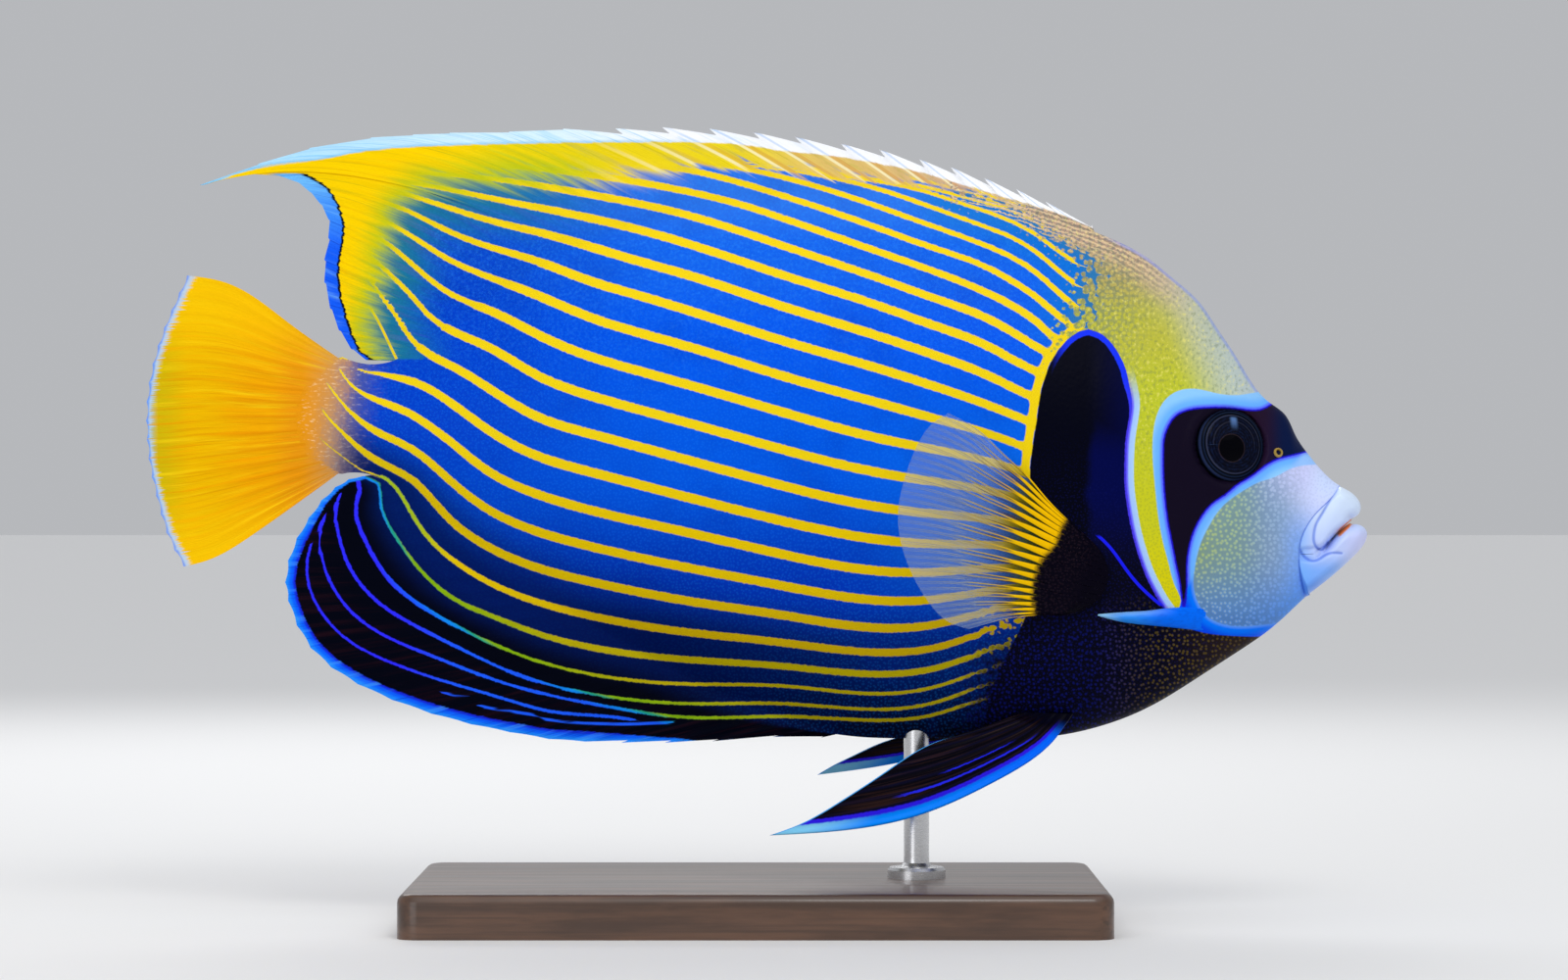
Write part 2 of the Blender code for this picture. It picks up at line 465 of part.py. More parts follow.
def lip(name, crease, outer, skin_edge, mouth):
    """A lip between the crease round the jaws and its own free edge, which is rolled in."""
    across = (1 - np.cos(np.linspace(0, math.pi, LIP_ROWS)))[:, None, None] / 2
    along = np.linspace(0, 1, LIP_COLUMNS)
    sheet = (1 - across) * resampled(crease, along) + across * resampled(outer, along)
    x = sheet[..., 0]
    body = half_thickness(x, sheet[..., 1])
    jaw = JAW_HALF * np.sqrt(np.clip(1 - ((x - JAW_CENTRE_X) / JAW_LENGTH) ** 2, 0, 1))
    roll = quarter_round(distance_to(sheet, skin_edge), LIP_ROLL)
    turn = quarter_round(distance_to(sheet, mouth), 0.7 * LIP_ROLL)
    turn = np.maximum(turn, 0.9 * (1 - smoothstep(x, 152.5, 160.5)))
    half = np.maximum(body, jaw) * roll * turn
    blend = smoothstep(distance_to(sheet, crease), 0, 2.2)
    half = np.maximum(np.minimum(half, body + blend * JAW_HALF), LIP_RIM)
    slab(name, "lips", sheet, -half, half)


def build_face():
    crease = shifted(smooth_path(LIP_CREASE, 200), GAP / 2)
    mouth = smooth_path(MOUTH_LINE, 60)
    corner = int(np.argmin(np.abs(crease[:, 1] - mouth[-1, 1])))
    upper_skin, lower_skin = smooth_path(UPPER_LIP, 40), smooth_path(LOWER_LIP, 40)
    upper = np.vstack([upper_skin, shifted(mouth, -MOUTH_GAP / 2)])
    lower = np.vstack([shifted(mouth, MOUTH_GAP / 2)[::-1], lower_skin[::-1]])
    lip("upper_lip", crease[:corner - 3], upper, upper_skin, mouth)
    lip("lower_lip", crease[corner + 3:], lower, lower_skin, mouth)
    v = np.linspace(0, 1, 11)
    top, low = (resampled(smooth_path(path, 60), v) for path in (CHEEK_SPINE_TOP, CHEEK_SPINE_LOW))
    across = np.linspace(0, 1, 5)[:, None, None]
    sheet = (1 - across) * low + across * top
    arch = np.sin(np.linspace(0, math.pi, 5))[:, None]
    thick = 0.5 + CHEEK_SPINE_HEIGHT * arch * np.sin(math.pi * v**0.8)
    for side, hand in ((-1, "right"), (1, "left")):
        side_fin("cheek_spine_" + hand, "cheek_spine", sheet, side, 0.0, thick, face_relief(sheet) + 0.1)


def build_stand():
    bm = bmesh.new()
    bmesh.ops.create_cube(bm, size=1)
    size = [side * MM for side in BASE_SIZE]
    bmesh.ops.scale(bm, vec=size, verts=bm.verts[:])
    bmesh.ops.translate(bm, vec=(0, 0, size[2] / 2), verts=bm.verts[:])
    edges = [edge for edge in bm.edges if max(vert.co.z for vert in edge.verts) > size[2] / 2]
    bmesh.ops.bevel(bm, geom=edges, offset=BASE_CHAMFER * MM, affect="EDGES", segments=2, profile=0.5,
                    material=-1)
    to_object(bm, "stand_base", "stand_wood", 30)
    rod = upright_cylinder(ROD_RADIUS, BASE_SIZE[2] + GAP, BELLY_AT_ROD + ROD_IN_BODY, 24)
    to_object(rod, "stand_rod", "stand_steel", 30)


for thing in list(bpy.data.objects):
    bpy.data.objects.remove(thing)
collection = bpy.data.collections.new("emperor_angelfish")
cutters = bpy.data.collections.new("cutters")
for group in (collection, cutters):
    bpy.context.scene.collection.children.link(group)
build_body()
build_median_fins()
build_paired_fins()
build_face()
build_stand()
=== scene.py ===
"""Emperor angelfish on a display stand: the look of the model, laid out as an add-on.

The silhouette is given in millimetres on the fish's middle plane (x forwards, z up).
Markings are drawn in the units of the flank drawing, 0.27 mm each, x to the right and
y down, and are laid on both flanks alike.
"""

import json
import math

import bmesh
import bpy
import numpy as np
from mathutils import Matrix, Vector

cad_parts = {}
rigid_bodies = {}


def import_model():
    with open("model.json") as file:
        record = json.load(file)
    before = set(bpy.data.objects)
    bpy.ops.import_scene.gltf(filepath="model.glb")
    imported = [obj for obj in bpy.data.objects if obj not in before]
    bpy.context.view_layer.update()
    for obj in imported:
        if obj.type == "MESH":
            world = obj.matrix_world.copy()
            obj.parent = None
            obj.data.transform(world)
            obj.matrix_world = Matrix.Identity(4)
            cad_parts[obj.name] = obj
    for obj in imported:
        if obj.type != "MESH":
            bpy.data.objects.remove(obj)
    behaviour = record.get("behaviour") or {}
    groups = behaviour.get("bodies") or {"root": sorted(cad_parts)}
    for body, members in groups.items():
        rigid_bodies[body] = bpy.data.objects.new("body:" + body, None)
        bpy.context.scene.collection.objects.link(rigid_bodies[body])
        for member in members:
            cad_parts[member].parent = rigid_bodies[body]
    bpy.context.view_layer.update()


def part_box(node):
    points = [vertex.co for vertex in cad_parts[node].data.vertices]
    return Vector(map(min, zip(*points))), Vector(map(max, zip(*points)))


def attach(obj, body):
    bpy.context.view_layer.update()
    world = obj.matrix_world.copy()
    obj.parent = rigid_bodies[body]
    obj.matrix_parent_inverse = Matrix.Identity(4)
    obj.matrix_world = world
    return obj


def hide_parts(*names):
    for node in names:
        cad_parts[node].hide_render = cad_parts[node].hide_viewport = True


bl_info = {
    "name": "Emperor Angelfish Model",
    "version": (1, 0, 0),
    "blender": (4, 5, 0),
    "location": "View3D > Sidebar > Angelfish",
    "description": "Builds a life-size emperor angelfish on a display stand",
    "category": "Add Mesh",
}

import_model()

MM = 0.001
UNIT = 0.27                       # millimetres to one unit of the flank drawing
DRAWING_X, DRAWING_Y = 772.15, 940.0  # where the drawing shows the model's origin
VIEW_DISTANCE = 1400.0            # the drawing's viewpoint, in front of its own centre
VIEW_CENTRE = (800.0, 500.0)
SENSOR, IMAGE_WIDTH = 36.0, 1600  # the camera's sensor in millimetres, and the picture's width in pixels
RIM, FIN_ROOT, FIN_EDGE = 0.25, 1.8, 0.30  # half thicknesses of the body's rim and of the fins
MID_SHARE = 0.47                  # the height of the widest level, as a share of the body's depth
# The powers that round the cross-section above and below that level, each by x.
FULLNESS_ABOVE = (-120, 0, 90, 130, 165), (1.1, 1.0, 0.82, 0.62, 0.55)
FULLNESS_BELOW = (-120, -20, 30, 80, 165), (1.15, 1.05, 0.8, 0.58, 0.55)
ROWS = 112                        # from the belly to the back

# Outlines on the middle plane, and the body's half width by x, in millimetres.
BACK = [(-130.2, 165.8), (-118.3, 157.7), (-108.3, 153.6), (-99.1, 154.7), (-89.7, 160.7),
        (-78.9, 167.9), (-62.7, 179.0), (-35.7, 192.0), (-8.7, 199.5), (21.0, 202.8), (48.0, 201.7),
        (69.6, 197.4), (83.1, 193.3), (93.9, 189.5), (107.1, 183.1), (114.7, 177.1), (122.3, 170.1),
        (126.3, 164.2), (131.7, 156.1), (136.3, 148.5), (140.6, 143.4), (145.5, 139.6), (148.5, 133.7),
        (150.9, 130.0), (156.8, 123.0), (160.3, 120.2), (163.6, 118.4), (166.3, 114.1), (168.0, 109.4)]
BELLY = [(-130.2, 112.6), (-118.3, 121.6), (-113.4, 123.4), (-108.0, 123.4), (-100.5, 120.4),
         (-92.4, 113.4), (-81.6, 104.0), (-68.1, 93.7), (-51.9, 83.2), (-33.0, 72.4), (-11.4, 61.6),
         (7.5, 55.1), (23.7, 51.3), (38.0, 50.4), (61.5, 50.4), (83.1, 51.2), (94.5, 53.7),
         (102.8, 56.6), (110.1, 60.1), (122.1, 67.5), (133.2, 74.7), (141.7, 80.7), (147.5, 85.9),
         (151.7, 89.8), (158.3, 94.9), (163.0, 99.1), (166.5, 102.6), (168.0, 106.4)]
HALF_WIDTH = [(-130.2, 1.6), (-126.5, 2.2), (-118.0, 3.4), (-105.9, 6.0), (-95.0, 8.3), (-73.5, 12.5),
              (-46.5, 17.0), (-19.5, 20.5), (7.5, 23.0), (34.5, 24.5), (61.5, 25.5), (83.1, 25.5),
              (102.0, 23.5), (115.5, 20.8), (130.9, 16.5), (142.5, 12.6), (153.3, 9.6), (160.3, 7.6),
              (165.0, 5.2), (168.2, 2.0)]
LIP_CREASE = [(160.3, 120.2), (157.6, 116.8), (153.3, 112.8), (150.4, 109.0), (148.8, 105.3),
              (148.3, 99.1), (149.0, 94.5), (150.9, 89.1)]
STALK_END = [(-115.3, 155.2), (-121.5, 149.0), (-125.0, 142.5), (-125.3, 137.0), (-123.0, 129.5),
             (-115.3, 123.3)]
DORSAL_TIPS = [(92.3, 191.7), (79.6, 198.2), (71.5, 201.7), (62.6, 204.8), (53.4, 207.8), (44.8, 209.9),
               (33.8, 212.6), (23.2, 214.2), (10.5, 216.1), (-1.1, 217.4), (-13.0, 218.3),
               (-26.0, 218.7), (-38.9, 218.4), (-53.2, 218.3), (-68.1, 217.5), (-84.6, 217.2),
               (-94.7, 216.7), (-106.2, 215.9), (-123.2, 213.0), (-137.2, 208.7), (-153.4, 202.8),
               (-140.2, 206.0), (-131.6, 205.4), (-126.5, 203.6), (-123.2, 201.0), (-120.2, 197.6),
               (-118.0, 193.4), (-118.0, 188.2), (-119.1, 182.2), (-119.1, 176.0), (-117.5, 168.8),
               (-115.1, 162.8), (-111.7, 157.6), (-107.6, 154.6)]
DORSAL_SPINES = 14
# How far the dorsal fin's rays are bent at their middle, by their numbers, and the way they bend.
DORSAL_BOW = (8, 14, 17, 20, 21, 22, 24, 27), (0.0, 2.5, 7.0, 10.7, 10.0, 8.0, 4.0, 0.0)
BOW_WAY = np.array((-0.45, 1.0))
DORSAL_ROOT_X = (93.0, -16.2, -27.0, -100.0)
ANAL_TIPS = [(17.8, 50.6), (4.5, 50.8), (-12.2, 49.6), (-25.3, 49.2), (-37.3, 49.2), (-47.3, 49.5),
             (-57.3, 50.2), (-68.1, 52.1), (-78.9, 54.3), (-89.7, 57.2), (-100.5, 61.0), (-109.9, 65.3),
             (-117.2, 69.9), (-122.9, 75.3), (-126.7, 81.5), (-129.1, 88.3), (-129.9, 93.4),
             (-129.1, 99.4), (-126.7, 105.6), (-123.4, 111.2), (-119.9, 116.0), (-116.1, 119.6),
             (-112.4, 121.8), (-108.6, 122.6)]
ANAL_ROOT_X = (22.0, -106.0)
ANAL_SPINES = 5
STRAIGHT = (0, 1), (0, 0)         # the bow of a fin whose rays are straight
CAUDAL_REAR = [(-156.9, 177.9), (-162.9, 164.4), (-166.2, 154.4), (-168.1, 142.3), (-168.1, 134.2),
               (-167.3, 125.8), (-165.1, 115.8), (-162.4, 106.5), (-157.9, 97.7)]
CAUDAL_TOP = [(-115.3, 155.2), (-129.4, 165.2), (-146.4, 176.0), (-156.9, 177.9)]
CAUDAL_BOTTOM = [(-115.3, 123.3), (-129.4, 113.1), (-140.4, 105.4), (-151.3, 99.4), (-157.9, 97.7)]
CAUDAL_RAYS = 17

PECTORAL_LOBE = [(88.6, 107.0), (93.5, 101.8), (95.3, 95.8), (93.0, 89.6), (84.0, 84.8)]
PECTORAL_EDGE = [(51.5, 139.4), (46.8, 136.2), (42.6, 129.6), (39.6, 121.3), (38.0, 111.4),
                 (38.9, 104.2), (42.1, 95.6), (46.1, 88.9), (51.4, 83.6), (57.0, 81.6)]
PECTORAL_TOP = [(88.6, 107.0), (79.5, 115.6), (72.5, 123.5), (67.0, 128.5), (60.5, 134.4), (51.5, 139.4)]
PECTORAL_LOW = [(84.0, 84.8), (70.0, 84.4), (57.0, 81.6)]
PECTORAL_SPREAD, PECTORAL_RAYS = 16.0, 19  # how far the fin's edge stands out, and its rays
PECTORAL_DARK = [(1100, 525), (1091, 537), (1082, 558), (1069, 573.6), (1061, 593), (1059.6, 614),
                 (1066, 640)]
PELVIC_ROOT = [(86.5, 57.5), (80.0, 57.8), (72.0, 58.0)]
PELVIC_RIGHT_TIPS = [(3.6, 25.2), (12.0, 28.2), (22.5, 34.0), (35.0, 42.0), (46.0, 48.8), (60.5, 53.0)]
PELVIC_LEFT_TIPS = [(17.0, 37.8), (21.5, 40.6), (27.0, 43.5), (34.0, 47.0), (46.0, 50.8), (60.5, 54.0)]
PELVIC_LEAD = [(86.5, 57.5), (82.0, 50.8), (66.2, 39.6), (43.2, 29.8), (3.6, 25.2)]
PELVIC_LEAD_LEFT = [(86.5, 57.5), (80.0, 52.5), (60.0, 47.0), (40.0, 42.0), (17.0, 37.8)]
PELVIC_SPREAD = (18.0, 40.0)      # how far the right and the left tip stand out
UPPER_LIP = [(160.6, 119.8), (163.6, 118.2), (165.7, 116.1), (166.4, 114.0), (165.8, 112.2),
             (163.6, 110.8)]
LOWER_LIP = [(152.2, 90.3), (158.6, 95.3), (163.3, 99.5), (166.5, 102.8), (167.9, 105.3), (168.0, 107.4),
             (166.5, 109.0), (163.6, 109.4)]
MOUTH_LINE = [(163.6, 110.1), (160.4, 107.6), (157.6, 104.6), (155.2, 102.2), (152.8, 101.4),
              (150.2, 101.2)]
JAW_MIDDLE, JAW_LENGTH, JAW_HALF_WIDTH = 149.0, 19.4, 9.6
LIP_ROUND, MOUTH_ROUND = 3.6, 2.6  # the radii of the lips' outer edge and of the edge at the mouth
LIP_SWELL, FOLD_DEPTH = 0.7, 0.4
MOUTH_FRONT = 164.6               # the x in front of which nothing inside the mouth shows
EYE_CENTRE, EYE_RADIUS, EYE_DEPTH = (128.9, 130.8), 10.2, 11.4
CORNEA, CORNEA_RISE, EYE_HEIGHT = 7.9, 0.7, 3.9
EYE_GROOVE, EYE_RIM = 8.3, 9.55   # the radii of the groove and of the raised rim round the cornea
EYE_DROP, EYE_BACK = 1.2, 1.1     # how far the pupil lies below and behind the eye's own middle
NOSTRIL = (142.7, 129.0)
NOSTRIL_PROFILE = [(0.05, -0.3), (0.7, -0.2), (0.78, 0.5), (1.0, 0.75), (1.25, 0.45), (1.5, -0.6)]
SPINE_TOP = [(92.5, 85.1), (99.9, 85.7), (106.7, 86.1), (116.6, 87.2), (124.4, 86.6)]
SPINE_LOW = [(92.5, 84.7), (98.0, 83.2), (109.7, 81.7), (116.0, 81.0), (124.4, 80.0)]
ROD_FOOT = [(0.0, 12.0), (8.0, 12.0), (8.0, 14.2), (7.4, 15.0), (4.4, 15.4), (3.6, 16.2), (3.5, 18.0)]
ROD_RADIUS, ROD_SHORT = 3.5, 0.5  # the rod, and how far its end stays below the solid's, in the body
BASE_CORNER = 0.006               # metres, the radius of the base's upright corners
SIDES = (-1, "right"), (1, "left")
BODY, DORSAL, ANAL, CAUDAL = range(4)

# The middles of the yellow stripes from the nape to the anal fin's edge, each from the front backwards.
STRIPES = [
    [(1090, 232), (1060, 219), (1030, 211), (1010, 204), (980, 194), (950, 186), (900, 176), (800, 160)],
    [(1090, 245), (1080, 240), (1060, 228), (1030, 214), (980, 200), (950, 192), (900, 184), (800, 166)],
    [(1095, 266), (1080, 256), (1060, 241), (1030, 225), (1010, 217), (980, 207), (950, 197), (850, 178),
     (700, 160)],
    [(1095, 288), (1080, 276), (1060, 259), (1030, 241), (1010, 233), (950, 211), (900, 194), (800, 172),
     (600, 158)],
    [(1095, 311), (1080, 298), (1060, 280), (1030, 261), (1010, 252), (950, 230), (900, 212), (800, 181),
     (700, 162), (500, 152)],
    [(1095, 333), (1080, 322), (1060, 305), (1030, 285), (1010, 274), (950, 252), (900, 234), (800, 200),
     (700, 173), (600, 163), (450, 160)],
    [(1095, 357), (1075, 344), (1060, 330), (1030, 310), (980, 287), (900, 258), (800, 223), (750, 207),
     (700, 195), (600, 178), (500, 168), (350, 168)],
    [(1090, 372), (1060, 355), (1045, 346), (1010, 326), (950, 303), (900, 285), (800, 251), (700, 219),
     (600, 198), (500, 182), (420, 176), (300, 172)],
    [(1090, 396), (1060, 380), (1045, 373), (1010, 354), (950, 331), (900, 313), (800, 281), (700, 248),
     (600, 222), (500, 202), (440, 190), (300, 178)],
    [(1090, 420), (1045, 401), (1010, 384), (950, 361), (900, 344), (800, 313), (700, 280), (650, 266),
     (600, 251), (550, 237), (500, 225), (440, 206), (380, 190), (310, 180)],
    [(1090, 446), (1045, 428), (1010, 414), (950, 393), (900, 377), (800, 348), (700, 316), (650, 301),
     (600, 286), (550, 267), (500, 252), (460, 237), (420, 217), (370, 200), (320, 190)],
    [(1090, 474), (1045, 456), (1010, 443), (950, 426), (900, 412), (800, 384), (700, 353), (650, 339),
     (600, 323), (550, 302), (500, 283), (460, 266), (420, 241), (380, 220), (330, 205)],
    [(1090, 500), (1030, 477), (980, 464), (900, 448), (800, 421), (700, 392), (650, 378), (600, 363),
     (550, 342), (500, 317), (460, 300), (420, 269), (390, 245), (335, 220)],
    [(1090, 524), (1010, 501), (950, 491), (900, 483), (800, 459), (700, 431), (600, 403), (550, 384),
     (500, 355), (460, 337), (440, 324), (420, 302), (400, 282), (370, 258), (330, 245)],
    [(1090, 546), (1010, 530), (950, 524), (900, 518), (800, 496), (700, 469), (600, 442), (550, 426),
     (500, 397), (460, 373), (437, 361), (420, 346), (400, 315), (390, 302), (380, 286), (360, 268),
     (330, 254)],
    [(1090, 562), (1010, 556), (950, 555), (900, 551), (800, 532), (700, 507), (600, 481), (550, 466),
     (500, 440), (460, 411), (440, 398), (420, 389), (400, 384), (385, 381), (370, 379), (358, 373),
     (345, 360), (330, 335), (300, 280)],
    [(1090, 580), (1010, 580), (950, 584), (900, 583), (800, 566), (700, 543), (600, 520), (550, 505),
     (500, 482), (460, 451), (440, 436), (420, 423), (400, 414), (375, 404), (363, 397), (352, 385),
     (345, 374), (335, 355), (310, 310)],
    [(1090, 594), (1010, 603), (950, 612), (900, 613), (800, 598), (700, 579), (600, 557), (550, 543),
     (500, 521), (460, 491), (440, 473), (420, 458), (400, 448), (375, 435), (366, 428), (354, 417),
     (342, 402), (332, 389), (318, 365), (290, 320)],
    [(1090, 604), (1010, 623), (950, 638), (900, 641), (800, 628), (700, 613), (600, 593), (550, 580),
     (500, 559), (460, 531), (440, 509), (420, 489), (400, 478), (375, 464), (354, 446), (342, 434),
     (333, 424), (326, 413), (310, 385), (280, 340)],
    [(1090, 618), (1010, 643), (950, 662), (900, 666), (800, 656), (700, 645), (600, 628), (550, 615),
     (500, 595), (460, 570), (438, 550), (419, 522), (405, 499), (392, 487), (374, 482), (351, 467),
     (333, 453), (325, 445), (300, 415), (270, 370)],
    [(1090, 638), (1010, 663), (950, 683), (900, 688), (800, 680), (700, 673), (600, 660), (550, 647),
     (500, 628), (464, 612), (432, 585), (410, 557), (395, 533), (388, 510), (387, 494), (378, 489),
     (350, 482), (300, 472)],
    [(1090, 662), (1010, 682), (950, 702), (900, 708), (800, 700), (700, 698), (620, 691), (540, 672),
     (469, 641), (432, 620), (401, 596), (382, 570), (369, 544), (363, 515), (366, 490), (361, 486),
     (330, 486), (300, 486)],
    [(1090, 690), (1010, 698), (950, 718), (900, 724), (800, 718), (700, 718), (620, 711), (540, 693),
     (464, 659), (421, 637), (393, 620), (371, 600), (354, 574), (345, 544), (342, 518), (347, 502),
     (345, 480)],
    [(1090, 712), (1010, 712), (950, 730), (900, 735), (800, 731), (700, 732), (620, 721), (497, 691),
     (443, 670), (399, 652), (362, 628), (341, 602), (329, 574), (325, 541), (333, 520), (338, 490)],
    [(1090, 735), (1010, 732), (950, 742), (900, 744), (800, 740), (700, 742), (620, 731), (562, 726),
     (508, 711), (453, 695), (399, 676), (356, 654), (330, 628), (317, 604), (313, 576), (318, 552),
     (326, 520)],
]
FIRST_STRIPE = -3                 # the number of the first path
STRIPE_HALF = (-3, 0, 3, 6, 12, 15, 17, 19, 21), (1.8, 2.4, 3.6, 4.7, 4.9, 4.5, 3.4, 2.3, 1.8)
# The x at which stripes end on the tail stalk, the y at which they end in the anal fin, and the x at which
# they turn there from yellow through green to blue, each by the stripes' numbers.
STALK_ENDS = (12, 13, 14, 15, 16), (366, 346, 334, 328, 326)
ANAL_ENDS = (18, 19, 20, 21), (487, 503, 525, 558)
GREEN_TURNS = (16.5, 17, 18, 19, 20, 21), (330, 402, 478, 604, 655, 730)
HIDDEN = -5.0                     # a half width that shows no stripe
FAR = 99.0                        # a distance at which a marking doesn't show
# The outlines of the markings, on the drawing.
DARK = [(1110, 336), (1122, 340), (1134, 350), (1143, 364), (1149, 378), (1152, 392), (1155, 410),
        (1153, 430), (1150, 450), (1149, 475), (1149, 492), (1152, 518), (1156, 540), (1160, 556),
        (1165, 572), (1171, 588), (1178, 602), (1186, 616), (1192, 624), (1204, 636), (1240, 644),
        (1290, 644), (1330, 630), (1400, 700), (1200, 860), (1000, 860), (996, 760), (1006, 730),
        (1012, 705), (1022, 680), (1034, 655), (1046, 630), (1053, 605), (1058, 575), (1060, 545),
        (1054, 510), (1051, 480), (1053, 460), (1056, 440), (1059, 420), (1062, 400), (1067, 383),
        (1073, 368), (1081, 356), (1090, 346), (1100, 339)]
BAND_FRONT = [(1300, 399), (1284, 400), (1265, 403), (1240, 401), (1222, 397), (1210, 397), (1196, 402),
              (1186, 412), (1180, 425), (1177, 440), (1176, 460), (1178, 490), (1181, 520), (1186, 550),
              (1193, 577), (1200, 600), (1205, 614), (1200, 630), (1222, 644), (1260, 649), (1300, 648),
              (1345, 632), (1500, 600), (1500, 300)]
MASK = [(1306, 405), (1286, 418), (1270, 418), (1250, 416), (1230, 416), (1210, 419), (1200, 424),
        (1193, 433), (1188, 446), (1187, 460), (1187, 480), (1188, 500), (1190, 520), (1193, 540),
        (1197, 560), (1201, 580), (1205, 602), (1208, 622), (1211, 600), (1211, 580), (1213, 560),
        (1219, 540), (1228, 524), (1238, 513), (1250, 505), (1262, 495), (1275, 487), (1290, 476),
        (1300, 470), (1312, 466), (1325, 463), (1345, 455), (1340, 400)]
CHEEK = [(1345, 474), (1318, 478), (1300, 487), (1285, 492), (1270, 500), (1255, 510), (1243, 522),
         (1233, 538), (1225, 555), (1220, 575), (1218, 590), (1219, 605), (1224, 618), (1232, 629),
         (1245, 636), (1270, 639), (1300, 636), (1420, 600), (1450, 500)]
YELLOW_AREA = [(1125, 235), (1080, 222), (1040, 207), (1000, 196), (950, 190), (900, 184), (850, 180),
               (800, 174), (750, 172), (700, 176), (650, 176), (600, 177), (550, 176), (500, 178),
               (460, 184), (436, 186), (406, 208), (394, 234), (388, 262), (385, 290), (385, 318),
               (389, 345), (400, 372)]
WHITE_EDGE = [(190, 193), (204, 190), (223, 184), (256, 173), (285, 167.5), (322, 164), (353, 157.5),
              (388, 152.6), (454, 148.6), (520, 146.8), (600, 145.5), (700, 145), (760, 148), (800, 154),
              (840, 158), (881, 164), (923, 172), (964, 182.7), (1005, 195), (1047, 207.5), (1088, 221),
              (1129, 240), (1160, 258)]
REAR_EDGE = [(262, 177.5), (284, 177), (306, 178), (322, 185), (333, 192.6), (340, 203.6), (346, 214.6),
             (349, 230), (348.4, 243), (345, 261), (344, 283), (345.5, 297), (348.4, 311.4), (354, 331),
             (362.7, 353), (376, 367), (392, 373)]
# The short blue lines along the anal fin's front edge.
DASHES = [[(447, 705), (462, 709), (479, 712)], [(487, 720), (515, 725), (549, 730)],
          [(549, 733), (590, 738), (640, 739), (690, 737)]]
# The thin line beside the rear end of the dorsal fin.
LAST_LINE = [(407, 371), (402, 361), (393, 342), (382, 321), (372, 306)]
HEAD_LINE = [(1150, 190), (1138, 225), (1122, 262), (1116, 290), (1110, 312), (1098, 340), (1092, 380)]
GILL_SLIT = [(1100, 530), (1121, 547), (1133, 559), (1149, 581), (1163, 598), (1184, 617), (1200, 630)]
GILL_EDGE = [(1150, 260), (1128, 330), (1114, 400), (1112, 470), (1114, 520), (1121, 547), (1149, 581),
             (1184, 616), (1240, 646), (1290, 650), (1330, 640)]
UPPER_FOLD = [(1358, 508), (1352.7, 518), (1348, 526), (1343, 535), (1340.7, 545), (1340.7, 553),
              (1344, 559), (1348, 561), (1351, 559), (1355, 553.5)]
LOWER_FOLD = [(1326, 560), (1329, 566), (1334, 570.5), (1340, 572.3), (1346, 570.5), (1352, 566.5),
              (1361, 564), (1369, 564.5)]
UPPER_ROLL = [(1370, 506), (1363, 520), (1354, 537), (1347, 551)]
LOWER_ROLL = [(1384, 549), (1371, 550), (1360, 556), (1350, 564)]


def to_px(points):
    """The place on the drawing of points of the middle plane."""
    return [(x / UNIT + DRAWING_X, DRAWING_Y - z / UNIT) for x, z in points]


def flank(points):
    """Where points (x, y, z in millimetres) of either flank show on the drawing."""
    near = VIEW_DISTANCE / (VIEW_DISTANCE - np.abs(points[:, 1]))
    centre_x = (VIEW_CENTRE[0] - DRAWING_X) * UNIT
    centre_z = (DRAWING_Y - VIEW_CENTRE[1]) * UNIT
    x = VIEW_CENTRE[0] + (points[:, 0] - centre_x) * near / UNIT
    return np.stack([x, VIEW_CENTRE[1] - (points[:, 2] - centre_z) * near / UNIT], axis=1)


def smooth_path(points, count):
    """The natural cubic spline through the points, as count points evenly spaced along it."""
    p = np.array(points, float)
    t = np.r_[0, np.cumsum(np.linalg.norm(np.diff(p, axis=0), axis=1))]
    h, n = np.diff(t), len(p)
    matrix, side = np.eye(n), np.zeros_like(p)
    for i in range(1, n - 1):
        matrix[i, i - 1:i + 2] = h[i - 1], 2 * (h[i - 1] + h[i]), h[i]
        side[i] = 6 * ((p[i + 1] - p[i]) / h[i] - (p[i] - p[i - 1]) / h[i - 1])
    bend = np.linalg.solve(matrix, side)
    s = np.linspace(0, t[-1], count)
    k = np.clip(np.searchsorted(t, s) - 1, 0, n - 2)
    a, b = ((t[k + 1] - s) / h[k])[:, None], ((s - t[k]) / h[k])[:, None]
    curve = ((a**3 - a) * bend[k] + (b**3 - b) * bend[k + 1]) * h[k][:, None] ** 2 / 6
    return a * p[k] + b * p[k + 1] + curve


def resampled(path, shares):
    """The points at these shares of the path's length."""
    run = np.r_[0, np.cumsum(np.linalg.norm(np.diff(path, axis=0), axis=1))]
    return np.stack([np.interp(np.array(shares) * run[-1], run, path[:, i]) for i in (0, 1)], axis=1)


def between(path, first_x, last_x, count):
    """count points of a path that rises in x, evenly spaced along it from first_x to last_x."""
    x = np.linspace(first_x, last_x, 400)
    return resampled(np.stack([x, np.interp(x, path[:, 0], path[:, 1])], axis=1), np.linspace(0, 1, count))


